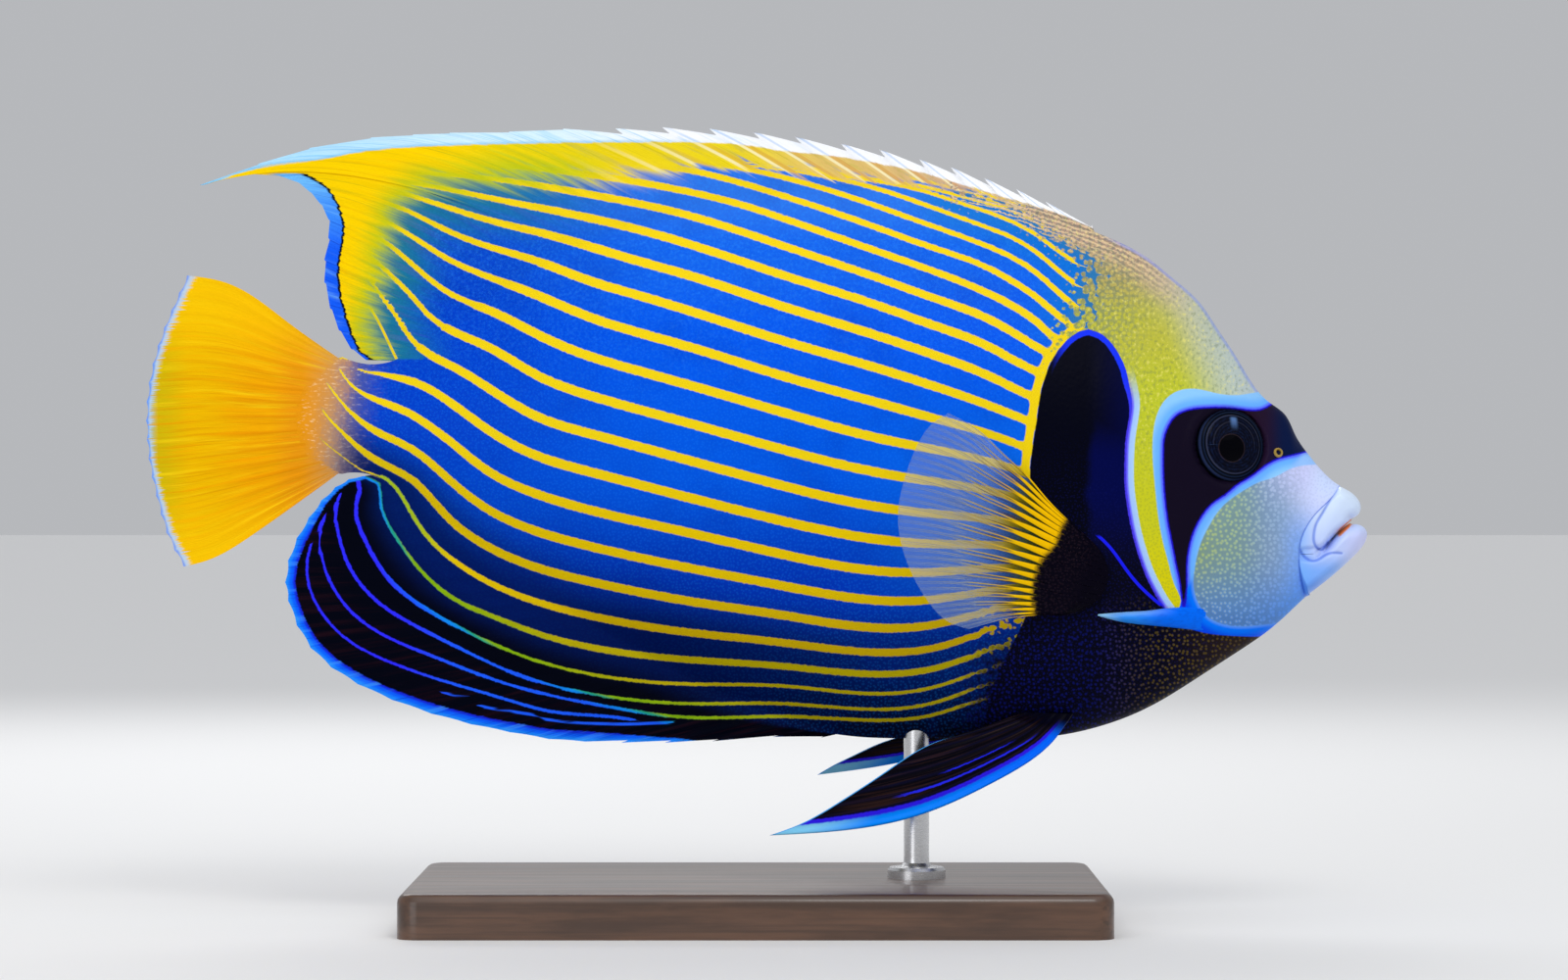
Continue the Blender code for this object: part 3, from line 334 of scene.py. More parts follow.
def distance_to(points, path, closed=False):
    """Signed distance from the points to a path: positive on the right of the way it runs, seen with y
    down. For a closed path it is negative inside."""
    path = np.array(path, float)
    if closed:
        path = np.vstack([path, path[:1]])
    best = np.full(len(points), 1e9)
    sign = np.ones(len(points))
    for a, b in zip(path[:-1], path[1:]):
        way = b - a
        off = points - a
        t = np.clip(off @ way / max(way @ way, 1e-9), 0, 1)
        gap = np.hypot(*(off - t[:, None] * way).T)
        cross = way[0] * off[:, 1] - way[1] * off[:, 0]
        nearer = gap < best - 1e-9
        best = np.where(nearer, gap, best)
        sign = np.where(nearer, np.sign(cross), sign)
    if closed:
        inside = np.zeros(len(points), bool)
        for a, b in zip(path[:-1], path[1:]):
            spans = (a[1] > points[:, 1]) != (b[1] > points[:, 1])
            rise = b[1] - a[1] if b[1] != a[1] else 1e-9
            inside ^= spans & (points[:, 0] < a[0] + (points[:, 1] - a[1]) * (b[0] - a[0]) / rise)
        sign = np.where(inside, -1.0, 1.0)
    return best * sign


def smoothstep(x, low, high):
    """0 below low, 1 above high, and smooth between."""
    t = np.clip((x - low) / (high - low), 0, 1)
    return t * t * (3 - 2 * t)


def patch(bottom, top, rear, front):
    """A sheet of rows between four outlines, each running left to right or upwards: rows x columns x 2."""
    u = np.linspace(0, 1, len(bottom))[None, :, None]
    v = np.linspace(0, 1, len(rear))[:, None, None]
    corners = (1 - v) * ((1 - u) * bottom[0] + u * bottom[-1]) + v * ((1 - u) * top[0] + u * top[-1])
    return (1 - v) * bottom + v * top + (1 - u) * rear[:, None] + u * front[:, None] - corners


BACK_PATH, BELLY_PATH, WIDTH_PATH = (smooth_path(p, 600) for p in (BACK, BELLY, HALF_WIDTH))


def fin_root(x, first_x, last_x):
    """Half the thickness that a median fin needs at its root, fading out at its two ends."""
    return FIN_ROOT * np.clip((first_x + 6 - x) / 10, 0, 1) * np.clip((x - last_x + 8) / 10, 0, 1)


def half_thickness(x, z):
    """The body's half thickness at a point of the side view."""
    x, z = np.asarray(x, float), np.asarray(z, float)
    top = np.interp(x, BACK_PATH[:, 0], BACK_PATH[:, 1])
    low = np.interp(x, BELLY_PATH[:, 0], BELLY_PATH[:, 1])
    width = np.interp(x, WIDTH_PATH[:, 0], WIDTH_PATH[:, 1])
    mid = low + MID_SHARE * (top - low)
    u = np.clip(np.where(z > mid, (z - mid) / (top - mid), (mid - z) / (mid - low)), 0, 1)
    fullness = np.where(z > mid, np.interp(x, *FULLNESS_ABOVE), np.interp(x, *FULLNESS_BELOW))
    body = width * (1 - u**2.1) ** fullness
    root = np.where(z > mid, fin_root(x, DORSAL_ROOT_X[0], DORSAL_ROOT_X[-1]), fin_root(x, *ANAL_ROOT_X))
    return (body**3 + root**3 + RIM**3) ** (1 / 3)


def rgb(red, green, blue):
    """An sRGB colour of 0 to 255 as the linear colour that a shader takes."""
    return tuple(c / 12.92 if c <= 0.04045 else ((c + 0.055) / 1.055) ** 2.4 for c in
                 (red / 255, green / 255, blue / 255))


class Value:
    """A shader socket that adds, multiplies and mixes like a number."""

    tree = None

    def __init__(self, socket):
        self.socket = socket

    @classmethod
    def node(cls, kind, inputs=(), output=0, **settings):
        """A node of any kind; inputs gives its sockets, by name or number, and settings are its own."""
        made = cls.tree.nodes.new(kind)
        for key, value in settings.items():
            setattr(made, key, value)
        plug(made, dict(inputs))
        return cls(made.outputs[output])

    def math(self, operation, *others):
        return self.node("ShaderNodeMath", enumerate((self, *others)), operation=operation)

    def __add__(self, other):
        return self.math("ADD", other)

    def __sub__(self, other):
        return self.math("SUBTRACT", other)

    def __mul__(self, other):
        return self.math("MULTIPLY", other)

    __radd__, __rmul__ = __add__, __mul__

    def __rsub__(self, other):
        return self * -1 + other

    def __abs__(self):
        return self.math("ABSOLUTE")

    def rise(self, low, high):
        """0 below low, 1 above high, and smooth between; low above high turns it round."""
        if low > high:
            return 1 - self.rise(high, low)
        return self.node("ShaderNodeMapRange", {0: self, 1: low, 2: high}, interpolation_type="SMOOTHSTEP")

    def mix(self, first, second):
        """The first colour where this is 0, the second where it is 1."""
        inputs = {0: self, 6: first, 7: second}
        return self.node("ShaderNodeMix", inputs, output=2, data_type="RGBA")

    def wave(self):
        """Distance to the nearest whole number, 0 to 0.5."""
        return abs(self.math("FRACT") - 0.5) * -1 + 0.5


def attribute(name):
    """A number stored on the piece's points."""
    return Value.node("ShaderNodeAttribute", output=2, attribute_name=name, attribute_type="GEOMETRY")


def place():
    """The place on the model."""
    return Value.node("ShaderNodeTexCoord", output=3)


def stretched(scale):
    """The place on the model, with each axis scaled."""
    return Value.node("ShaderNodeMapping", {0: place(), 3: scale})


def flat_place(x, y):
    """Two numbers as a place for a noise."""
    return Value.node("ShaderNodeCombineXYZ", {0: x, 1: y})


def noise(vector, scale, detail=2.0, rough=0.5):
    return Value.node("ShaderNodeTexNoise",
                      {"Vector": vector, "Scale": scale, "Detail": detail, "Roughness": rough})


def soft_cells(vector, scale):
    return Value.node("ShaderNodeTexVoronoi", {"Vector": vector, "Scale": scale}, feature="SMOOTH_F1")


def flat_cells(x, y, size, spread=0.9):
    """Distance to the nearest of scattered points on the drawing, size units apart, as a share of size."""
    at = flat_place(x * (1 / size), y * (1 / size))
    return Value.node("ShaderNodeTexVoronoi", {"Vector": at, "Scale": 1.0, "Randomness": spread},
                      voronoi_dimensions="2D")


def new_material(name):
    """A new material, its nodes made the current ones, and its surface shader."""
    made = bpy.data.materials.get(name)
    if made is not None:
        bpy.data.materials.remove(made)
    made = bpy.data.materials.new(name)
    made.use_nodes = True
    Value.tree = made.node_tree
    return made, made.node_tree.nodes["Principled BSDF"]


def plug(node, values):
    """Sets a node's sockets, each by name or number, or links them where the value is another node's."""
    for key, value in values.items():
        socket = node.inputs[key]
        if isinstance(value, Value):
            Value.tree.links.new(value.socket, socket)
        else:
            socket.default_value = (*value, 1)[:4] if socket.type == "RGBA" else value


def coated(colour, *layers):
    """A colour under layers of (mask, colour) laid on one after another."""
    for mask, over in layers:
        colour = mask.mix(colour, over)
    return colour


def bump(height, strength, distance, more=()):
    """A relief; distance is its depth in metres."""
    values = {"Height": height, "Strength": strength, "Distance": distance, **dict(more)}
    return Value.node("ShaderNodeBump", values)


def plain_material(name, colour, roughness):
    """A material of one colour."""
    made, surface = new_material(name)
    plug(surface, {"Base Color": colour, "Roughness": roughness})
    return made


def add_object(bm, name, materials, smooth_angle=60, attributes=None):
    """A smooth-shaded object, sharp where its faces meet at more than smooth_angle degrees, with its
    attributes, one number for each point."""
    mesh = bpy.data.meshes.new(name)
    bm.to_mesh(mesh)
    bm.free()
    mesh.shade_smooth()
    mesh.set_sharp_from_angle(angle=math.radians(smooth_angle))
    for made in materials:
        mesh.materials.append(made)
    for key, values in (attributes or {}).items():
        mesh.attributes.new(key, "FLOAT", "POINT").data.foreach_set("value", np.asarray(values, np.float32))
    made = bpy.data.objects.new(name, mesh)
    bpy.context.scene.collection.objects.link(made)
    return made


def mesh_points(bm):
    """A mesh's points in millimetres."""
    return np.array([vert.co for vert in bm.verts]) / MM


def spun(profile, steps, caps=False):
    """A mesh turned about the z axis from a profile of (radius, height) in millimetres."""
    bm = bmesh.new()
    verts = [bm.verts.new((radius * MM, 0, height * MM)) for radius, height in profile]
    edges = [bm.edges.new(pair) for pair in zip(verts[:-1], verts[1:])]
    bmesh.ops.spin(bm, geom=verts + edges, axis=(0, 0, 1), cent=(0, 0, 0), angle=2 * math.pi, steps=steps,
                   use_merge=True)
    bmesh.ops.remove_doubles(bm, verts=bm.verts[:], dist=1e-6)
    if caps:
        bmesh.ops.holes_fill(bm, edges=bm.edges[:], sides=40)
    return bm


def spread_over(values, grid, index):
    """One value for each point of a mesh made from a grid of rows and columns."""
    return np.broadcast_to(values, grid.shape).reshape(-1)[index]


def thick_sheets(sheets):
    """A closed mesh over sheets that share borders. Each sheet is (points, near, far): rows x columns x 2,
    and the y of its two faces. Returns the mesh, and for each vertex the point that it came from."""
    bm = bmesh.new()
    source = bm.verts.layers.int.new("source")
    start = 0
    for points, _, _ in sheets:
        rows, columns = points.shape[:2]
        made = bmesh.ops.create_grid(bm, x_segments=columns - 1, y_segments=rows - 1, size=1)
        flat = points.reshape(-1, 2)
        for i, vert in enumerate(made["verts"]):
            vert[source] = start + i
            vert.co = (flat[i, 0] * MM, 0, flat[i, 1] * MM)
        start += rows * columns
    bmesh.ops.remove_doubles(bm, verts=bm.verts[:], dist=1e-7)
    made = bmesh.ops.extrude_face_region(bm, geom=bm.faces[:])
    second = {element for element in made["geom"] if isinstance(element, bmesh.types.BMVert)}
    near = np.concatenate([sheet[1].reshape(-1) for sheet in sheets])
    far = np.concatenate([sheet[2].reshape(-1) for sheet in sheets])
    for vert in bm.verts:
        vert.co.y = (far if vert in second else near)[vert[source]] * MM
    bmesh.ops.recalc_face_normals(bm, faces=bm.faces[:])
    index = np.array([vert[source] for vert in bm.verts])
    bm.verts.layers.int.remove(source)
    return bm, index


def ray_sheet(root, tips, first, last, rows, shares, notch, bow):
    """A fin's sheet: tips has one point for each ray, and shares are the columns' places from ray to ray.
    notch(f, k) is how many millimetres the margin is drawn in at the share f of the way from ray k to the
    next. bow gives rays, and how many millimetres each is bent upwards at its middle."""
    ray = np.append((np.arange(len(tips) - 1)[:, None] + np.array(shares)).ravel(), len(tips) - 1)
    even = np.linspace(0, len(tips) - 1, len(root))
    root = np.stack([np.interp(ray, even, root[:, i]) for i in (0, 1)], axis=1)
    lower = np.minimum(ray.astype(int), len(tips) - 2)
    share = (ray - lower)[:, None]
    tips = np.array(tips, float)
    margin = (1 - share) * tips[lower] + share * tips[lower + 1]
    length = np.maximum(np.linalg.norm(root - margin, axis=1), 0.5)
    draw = [notch(f, k) if 0 < f < 1 else 0.0 for f, k in zip(ray - lower, lower)]
    margin = margin + np.minimum(draw * np.clip(length / 9, 0, 1) / length, 0.5)[:, None] * (root - margin)
    s = np.linspace(0, 1, rows)
    sheet = patch(root, margin, resampled(smooth_path(first, 80), s), resampled(smooth_path(last, 80), s))
    lift = np.interp(ray, *bow)[None, :] * 4 * (s * (1 - s))[:, None]
    return sheet + lift[..., None] * BOW_WAY, ray, s


def fin_relief(ray, s, root_half, edge_half, height, power=1.6):
    """Half the thickness of a fin: it thins from root to edge, and each ray is a ridge of this height."""
    crest = 0.5 + 0.5 * np.cos(2 * math.pi * ray)
    fall = (1 - s[:, None]) ** power
    return (edge_half + (root_half - edge_half) * fall
            + height * crest**1.5 * (1 - 0.7 * s[:, None] ** 3) * np.clip(s[:, None] * 6, 0, 1))


def stripe_fields(points):
    """For each point of the drawing, its place among the stripes (whole on a stripe) and their spacing."""
    gaps = np.stack([-distance_to(points, smooth_path(path, 70)) for path in STRIPES])
    below = np.clip(np.cumprod(gaps > 0, axis=0).sum(axis=0) - 1, 0, len(STRIPES) - 2)
    columns = np.arange(len(points))
    upper, lower = gaps[below, columns], gaps[below + 1, columns]
    spacing = np.maximum(upper - lower, 2.0)
    return FIRST_STRIPE + below + np.clip(upper / spacing, -1, 2), spacing


def skin_sheets():
    """The body and its median fins as sheets that share borders, with their own coordinates."""
    rise = (1 - np.cos(np.linspace(0, math.pi, ROWS + 1))) / 2
    dorsal = [between(BACK_PATH, *DORSAL_ROOT_X[:2], 66), between(BACK_PATH, *DORSAL_ROOT_X[1:3], 6),
              between(BACK_PATH, *DORSAL_ROOT_X[2:], 96)]
    dorsal = np.vstack([dorsal[0], dorsal[1][1:], dorsal[2][1:]])
    anal = between(BELLY_PATH, *ANAL_ROOT_X, 116)
    crease = resampled(smooth_path(LIP_CREASE[::-1], 300), rise)
    stalk = resampled(smooth_path(STALK_END[::-1], 200), rise)
    spiny, soft, tail = (0, 0.04, 0.3, 0.54, 0.77), (0, 0.05, 0.35, 0.6, 0.8), tuple(np.arange(7) / 7)
    shapes = (
        (dorsal, DORSAL_TIPS, [dorsal[0], DORSAL_TIPS[0]], [dorsal[-1], DORSAL_TIPS[-1]], 29, spiny,
         lambda f, k: (3.2 if k < DORSAL_SPINES - 1 else 0.5) * (1 - f)**1.2, DORSAL_BOW, 0.28, DORSAL),
        (anal, ANAL_TIPS, [anal[0], ANAL_TIPS[0]], [anal[-1], ANAL_TIPS[-1]], 22, soft,
         lambda f, k: 2.6 * (1 - f) if k < ANAL_SPINES else 0.4 * math.sin(math.pi * f), STRAIGHT, 0.22,
         ANAL),
        (stalk[::-1], resampled(smooth_path(CAUDAL_REAR, 120), np.linspace(0, 1, CAUDAL_RAYS)), CAUDAL_TOP,
         CAUDAL_BOTTOM, 31, tail, lambda f, k: 0.5 * math.sin(math.pi * f), STRAIGHT, 0.2, CAUDAL),
    )
    sheets = [ray_sheet(*shape[:8]) for shape in shapes]
    dorsal, anal = sheets[0][0][0], sheets[1][0][0]
    back = np.vstack([between(BACK_PATH, stalk[-1, 0], dorsal[-1, 0], 13)[:-1], dorsal[::-1],
                      between(BACK_PATH, dorsal[0, 0], crease[-1, 0], 121)[1:]])
    belly = np.vstack([between(BELLY_PATH, stalk[0, 0], anal[-1, 0], 9)[:-1], anal[::-1],
                       between(BELLY_PATH, anal[0, 0], crease[0, 0], 175)[1:]])
    back[0], back[-1], belly[0], belly[-1] = stalk[-1], crease[-1], stalk[0], crease[0]
    u = np.linspace(0, 1, len(back))[None, :, None]
    v = rise[:, None, None]
    sheet = (1 - v) * belly + v * back
    sheet = sheet + (1 - u) * (stalk - sheet[:, 0])[:, None] + u * (crease - sheet[:, -1])[:, None]
    body_half = half_thickness(sheet[..., 0], sheet[..., 1])
    none = np.zeros(sheet.shape[:2])
    parts = [dict(sheet=sheet, half=body_half, ray=none, s=none, fin=BODY)]
    for (points, ray, s), shape in zip(sheets, shapes):
        height, fin = shape[8:]
        root_half = body_half[::-1, 0] if fin == CAUDAL else half_thickness(*points[0].T)
        half = fin_relief(ray, s, root_half[None, :], FIN_EDGE, height, 2.0 if fin == CAUDAL else 1.6)
        half[0] = root_half
        parts.append(dict(sheet=points, half=half, ray=np.broadcast_to(ray, half.shape),
                          s=np.broadcast_to(s[:, None], half.shape), fin=fin))
    return parts


def skin_relief(points, half):
    """The gill cover, eye socket and cheek, in millimetres added to the half thickness."""
    seen = flank(np.stack([points[:, 0], half, points[:, 1]], axis=1))
    ahead = -distance_to(seen, smooth_path(GILL_EDGE, 160))
    inside = np.clip(half / 6, 0, 1)
    cover = 0.5 * smoothstep(ahead, -1.5, 2.0) * (1 - smoothstep(ahead, 2, 90))
    cover = cover * smoothstep(seen[:, 1], 340, 430)
    eye = np.hypot(points[:, 0] - EYE_CENTRE[0], points[:, 1] - EYE_CENTRE[1])
    socket = -3.5 * (1 - smoothstep(eye, 9.3, 10.6)) + 0.3 * np.exp(-((eye - 11.5) / 1.0) ** 2)
    cheek = distance_to(seen, smooth_path(CHEEK, 200), closed=True)
    bulge = 0.5 * smoothstep(-cheek, 0, 14) * (1 - smoothstep(seen[:, 0], 1290, 1340))
    groove = -0.3 * np.exp(-((cheek + 1) / 3.0) ** 2)
    groove = groove * smoothstep(seen[:, 1], 560, 600) * (seen[:, 0] < 1300)
    return (cover + bulge) * inside + socket + groove


def rise_colour(value, *stops):
    """A colour that passes through (place, colour) stops as the value rises."""
    colour = stops[0][1]
    for (low, _), (high, after) in zip(stops[:-1], stops[1:]):
        colour = value.rise(low, high).mix(colour, after)
    return colour


class Fields(dict):
    """Shader values by name."""

    def take(self, names):
        return [self[name] for name in names.split()]


def skin_fields():
    """What the skin's paint reads: its attributes, and the noises that several markings share."""
    here = place()
    x, y = attribute("flank_x"), attribute("flank_y")
    ray, s, edge = attribute("ray"), attribute("along_ray"), attribute("margin")
    dorsal, anal, caudal = attribute("dorsal"), attribute("anal"), attribute("caudal")
    dark_d, mask_d, band_d = attribute("dark"), attribute("mask"), attribute("band")
    cheek_d, area_d, slit_d = attribute("cheek"), attribute("yellow_area"), attribute("gill_slit")
    head_d, white_d, rear_d = attribute("head_line"), attribute("white_edge"), attribute("rear_edge")
    stripe, spacing, half = attribute("stripe"), attribute("spacing"), attribute("stripe_half")
    fine = noise(here, 1100, 2, 0.6) - 0.5
    soft = noise(here, 60, 3) - 0.5
    bead = flat_cells(x + fine * 5, y, 7.6)
    dot, grain = flat_cells(x + fine * 1.5, y + fine * 1.5, 4.9, 0.75), flat_cells(x, y, 3.4)
    fleck = noise(flat_place(x * 0.3, y * 0.22), 1, 2, 0.6) - 0.5
    jag = fine * 2
    ray = ray + (1 - s) * dorsal * x.rise(560, 760) * 0.6
    streak = noise(flat_place(ray * 3, s * 1.4), 1, 3, 0.6) - 0.5
    thread = noise(flat_place(ray * 11, s * 2), 1, 1) - 0.5
    return Fields(anal=anal, area_d=area_d, band_d=band_d, bead=bead, caudal=caudal, cheek_d=cheek_d,
                  dark_d=dark_d, dorsal=dorsal, dot=dot, edge=edge, fine=fine, fleck=fleck, grain=grain,
                  half=half, head_d=head_d, jag=jag, mask_d=mask_d, ray=ray, rear_d=rear_d, s=s,
                  slit_d=slit_d, soft=soft, spacing=spacing, streak=streak, stripe=stripe, thread=thread,
                  white_d=white_d, x=x, y=y)


def blue_ground(fields):
    """The blue ground, lighter along the back and almost black at the belly."""
    y, x, fine, grain, head_d, soft, stripe = fields.take("y x fine grain head_d soft stripe")
    blue = rise_colour(y, (190, rgb(44, 114, 226)), (260, rgb(14, 94, 226)), (340, rgb(0, 84, 228)),
                       (470, rgb(0, 86, 222)), (600, rgb(0, 54, 182)), (680, rgb(0, 32, 108)),
                       (718, rgb(0, 22, 72)), (745, rgb(2, 12, 36)))
    blue = coated(blue,
        (x.rise(700, 440) * y.rise(620, 430) * 0.75, rgb(0, 52, 186)),
        (x.rise(840, 990) * y.rise(380, 480) * y.rise(650, 560) * 0.6, rgb(8, 110, 240)),
        (fine.rise(-0.1, 0.3) * y.rise(480, 220) * 0.3, rgb(50, 146, 250)),
        (grain.rise(0.45, 0.1) * 0.12, rgb(30, 140, 255)),
        (head_d.rise(-70, -10) * y.rise(380, 300) * 0.7, rgb(10, 118, 196)),
        (soft.rise(-0.05, 0.25) * 0.2, rgb(0, 40, 160)))
    rearward = stripe + x.rise(620, 440) * 0.5
    blue = coated(blue,
        (rearward.rise(14, 16.3) * x.rise(1010, 640) * 0.9, rgb(0, 16, 72)),
        (rearward.rise(16.8, 18.6) * x.rise(820, 560), rgb(1, 3, 14)))
    return blue


def stripes(fields, blue, bright):
    """The yellow stripes over the blue ground, bluer in the anal fin."""
    y, x, stripe, spacing = fields.take("y x stripe spacing")
    head_d, half, jag, bead, dark_d = fields.take("head_d half jag bead dark_d")
    yellow = rise_colour(y, (200, bright), (420, rgb(236, 206, 18)), (560, rgb(228, 194, 4)),
                         (690, rgb(190, 160, 8)), (740, rgb(124, 108, 16)))
    fin_line = rise_colour(attribute("turn"), (-60, rgb(28, 92, 255)), (-20, rgb(16, 136, 240)),
                           (4, rgb(36, 160, 130)), (26, rgb(130, 176, 16)), (200, rgb(182, 166, 8)))
    fin_line = (attribute("turn").rise(-50, -100) * x.rise(480, 400)).mix(fin_line, rgb(46, 44, 252))
    yellow = coated(yellow,
        (stripe.rise(16.4, 16.7), fin_line),
        (x.rise(470, 420) * x.rise(376, 392) * stripe.rise(15.4, 15.9) * stripe.rise(16.6, 16.4) * 0.7,
         rgb(118, 184, 40)))
    reach = abs((stripe - stripe.math("ROUND")) * spacing)
    dissolve = (x.rise(975, 1050) * y.rise(600, 660)).math("MAXIMUM", head_d.rise(-16, 10))
    body_stripe = half - reach + jag - dissolve * (bead - 0.34) * 20
    body_stripe = body_stripe - stripe.rise(21.3, 21.6) * 20
    body_stripe = body_stripe - x.rise(400, 380) * attribute("line_end").rise(1.5, -1.5) * 20
    body_stripe = body_stripe.math("MAXIMUM", 2 - attribute("dash"))
    body_stripe = body_stripe.math("MAXIMUM", 1.5 - abs(attribute("last_line")) - y.rise(316, 302) * 6)
    patch_line = 4.4 - abs(dark_d - 4.8) + jag * 0.5 - x.rise(1104, 1116) * 20 - y.rise(478, 500) * 20
    stripe_on = body_stripe.math("SMOOTH_MAX", patch_line, 6).rise(-0.7, 0.7)
    fields["stripe_on"] = stripe_on
    return stripe_on.mix(blue, yellow)


def dorsal_field(fields, colour):
    """The yellow field of the dorsal fin, streaked along its rays, over teal."""
    area_d, streak, thread = fields.take("area_d streak thread")
    x, stripe_on, ray, dorsal = fields.take("x stripe_on ray dorsal")
    field = area_d * -1 - streak * 46 - thread * 14
    teal = rise_colour(x, (400, rgb(30, 126, 128)), (700, rgb(30, 110, 170)))
    teal = (streak.rise(0, 0.2) * 0.5).mix(teal, rgb(96, 124, 110))
    colour = (field.rise(-86, -6) * x.rise(660, 520) * (1 - stripe_on) * 0.85).mix(colour, teal)
    golden = rise_colour(x, (430, rgb(250, 208, 0)), (520, rgb(236, 208, 8)), (740, rgb(236, 212, 30)),
                         (860, rgb(224, 190, 110)), (1000, rgb(206, 170, 140)), (1120, rgb(206, 178, 150)))
    golden = coated(golden,
        (streak.rise(-0.02, 0.2) * x.rise(480, 620) * 0.7, rgb(192, 178, 84)),
        (streak.rise(0, 0.2) * x.rise(470, 420) * 0.45, rgb(226, 160, 0)),
        (thread.rise(0.05, 0.25) * 0.4, rgb(176, 166, 20)),
        # painted highlight: a pale cream line along the ridge of each ray
        (ray.wave().rise(0.12, 0.04) * dorsal * x.rise(560, 760) * 0.8, rgb(244, 236, 190)),
        ((ray + 0.2).wave().rise(0.16, 0.06) * dorsal * x.rise(640, 780) * 0.45, rgb(206, 140, 60)),
        (field.rise(34, -6) * x.rise(640, 560) * 0.75, rgb(150, 190, 30)))
    soft_edge = x.rise(720, 600)
    return (soft_edge * field.rise(-24, 10) + (1 - soft_edge) * field.rise(-6, 6)).mix(colour, golden)


def nape(fields, colour):
    """The olive nape and forehead, flecked where they meet the blue."""
    y, grain, soft, fine, dot = fields.take("y grain soft fine dot")
    head_d, fleck, x, stripe_on, bead = fields.take("head_d fleck x stripe_on bead")
    olive = rise_colour(y, (240, rgb(190, 164, 130)), (275, rgb(176, 160, 96)), (330, rgb(184, 182, 62)),
                        (420, rgb(188, 196, 44)), (520, rgb(198, 200, 34)), (600, rgb(214, 206, 14)))
    olive = (grain.rise(0.42, 0.18) * y.rise(400, 470) * 0.3).mix(olive, rgb(150, 160, 50))
    crown, profile = attribute("crown"), attribute("profile")
    row = ((profile + soft * 16 + fine * 5) * 0.25).wave() - 0.25
    olive = coated(olive,
        (crown * 0.75, rgb(208, 172, 148)),
        (attribute("forehead"), rgb(184, 198, 200)),
        (dot.rise(0.3, 0.5) * y.rise(480, 400) * head_d.rise(90, 10) * 0.5, rgb(84, 112, 110)),
        (fleck.rise(-0.02, -0.16) * y.rise(520, 420) * 0.4, rgb(108, 124, 84)),
        (fleck.rise(0.04, 0.2) * y.rise(520, 420) * 0.5, rgb(232, 224, 120)))
    rows = crown * x.rise(1230, 1150)
    olive = coated(olive,
        (row.rise(-0.02, -0.14) * rows * 0.5, rgb(128, 112, 104)),
        (row.rise(0.04, 0.16) * rows * 0.6, rgb(236, 210, 160)),
        (profile.rise(4, 1.5) * x.rise(1120, 1150) * 0.6, rgb(140, 158, 228)))
    teal = head_d.rise(-22, -4) * 0.7
    colour = (teal * (1 - stripe_on)).mix(colour, rgb(52, 118, 158))
    top = rows * x.rise(960, 1010)
    flecked = head_d + 11 + (1 - top) * (0.34 - bead) * 62 + top * row * 60
    return flecked.rise(-5, 5).mix(colour, olive)


def tail_paint(fields, colour):
    """The tail stalk and the orange tail fin."""
    x, caudal, thread, streak, ray = fields.take("x caudal thread streak ray")
    s, y, fine, soft, stripe_on = fields.take("s y fine soft stripe_on")
    orange = rise_colour(x, (152, rgb(170, 186, 150)), (162, rgb(206, 180, 8)), (200, rgb(236, 182, 0)),
                         (270, rgb(240, 168, 2)), (305, rgb(232, 150, 16)), (345, rgb(204, 146, 80)))
    orange = coated(orange,
        (caudal * thread.rise(0, 0.2) * 0.5, rgb(214, 140, 0)),
        (caudal * streak.rise(0, 0.22) * 0.45, rgb(250, 156, 0)),
        (caudal * streak.rise(0, -0.25) * 0.6, rgb(250, 214, 20)),
        (caudal * ray.wave().rise(0.2, 0.06) * s.rise(0.8, 0.3) * 0.45, rgb(218, 134, 0)),
        (caudal * abs(y - 440).rise(50, 130) * 0.7, rgb(250, 200, 4)))
    glint = noise(flat_place(x * 0.13, y * 0.42), 1, 2, 0.6) - 0.5
    glint = glint.rise(0.05, 0.2) * (1 - caudal)
    orange = (glint * 0.6).mix(orange, rgb(250, 214, 160))
    tail = attribute("tail") + fine * 0.3 + soft * 0.2
    grey = (glint * 0.6).mix(x.rise(372, 326).mix(rgb(84, 90, 140), rgb(176, 146, 124)),
                             rgb(190, 180, 176))
    colour = coated(colour,
        (tail.rise(0.05, 0.6) * 0.9 * (1 - stripe_on), grey),
        (tail.rise(0.4, 0.85) * (1 - stripe_on), orange))
    return colour


def anal_fin(fields, colour):
    """The black between the anal fin's lines."""
    streak, stripe, anal, s, stripe_on = fields.take("streak stripe anal s stripe_on")
    black = (streak.rise(-0.05, 0.25) * stripe.rise(18.6, 20.4)).mix(rgb(1, 3, 16), rgb(26, 8, 20))
    return (anal * s.rise(0, 0.25) * (1 - stripe_on) * stripe.rise(17, 18.6)).mix(colour, black)


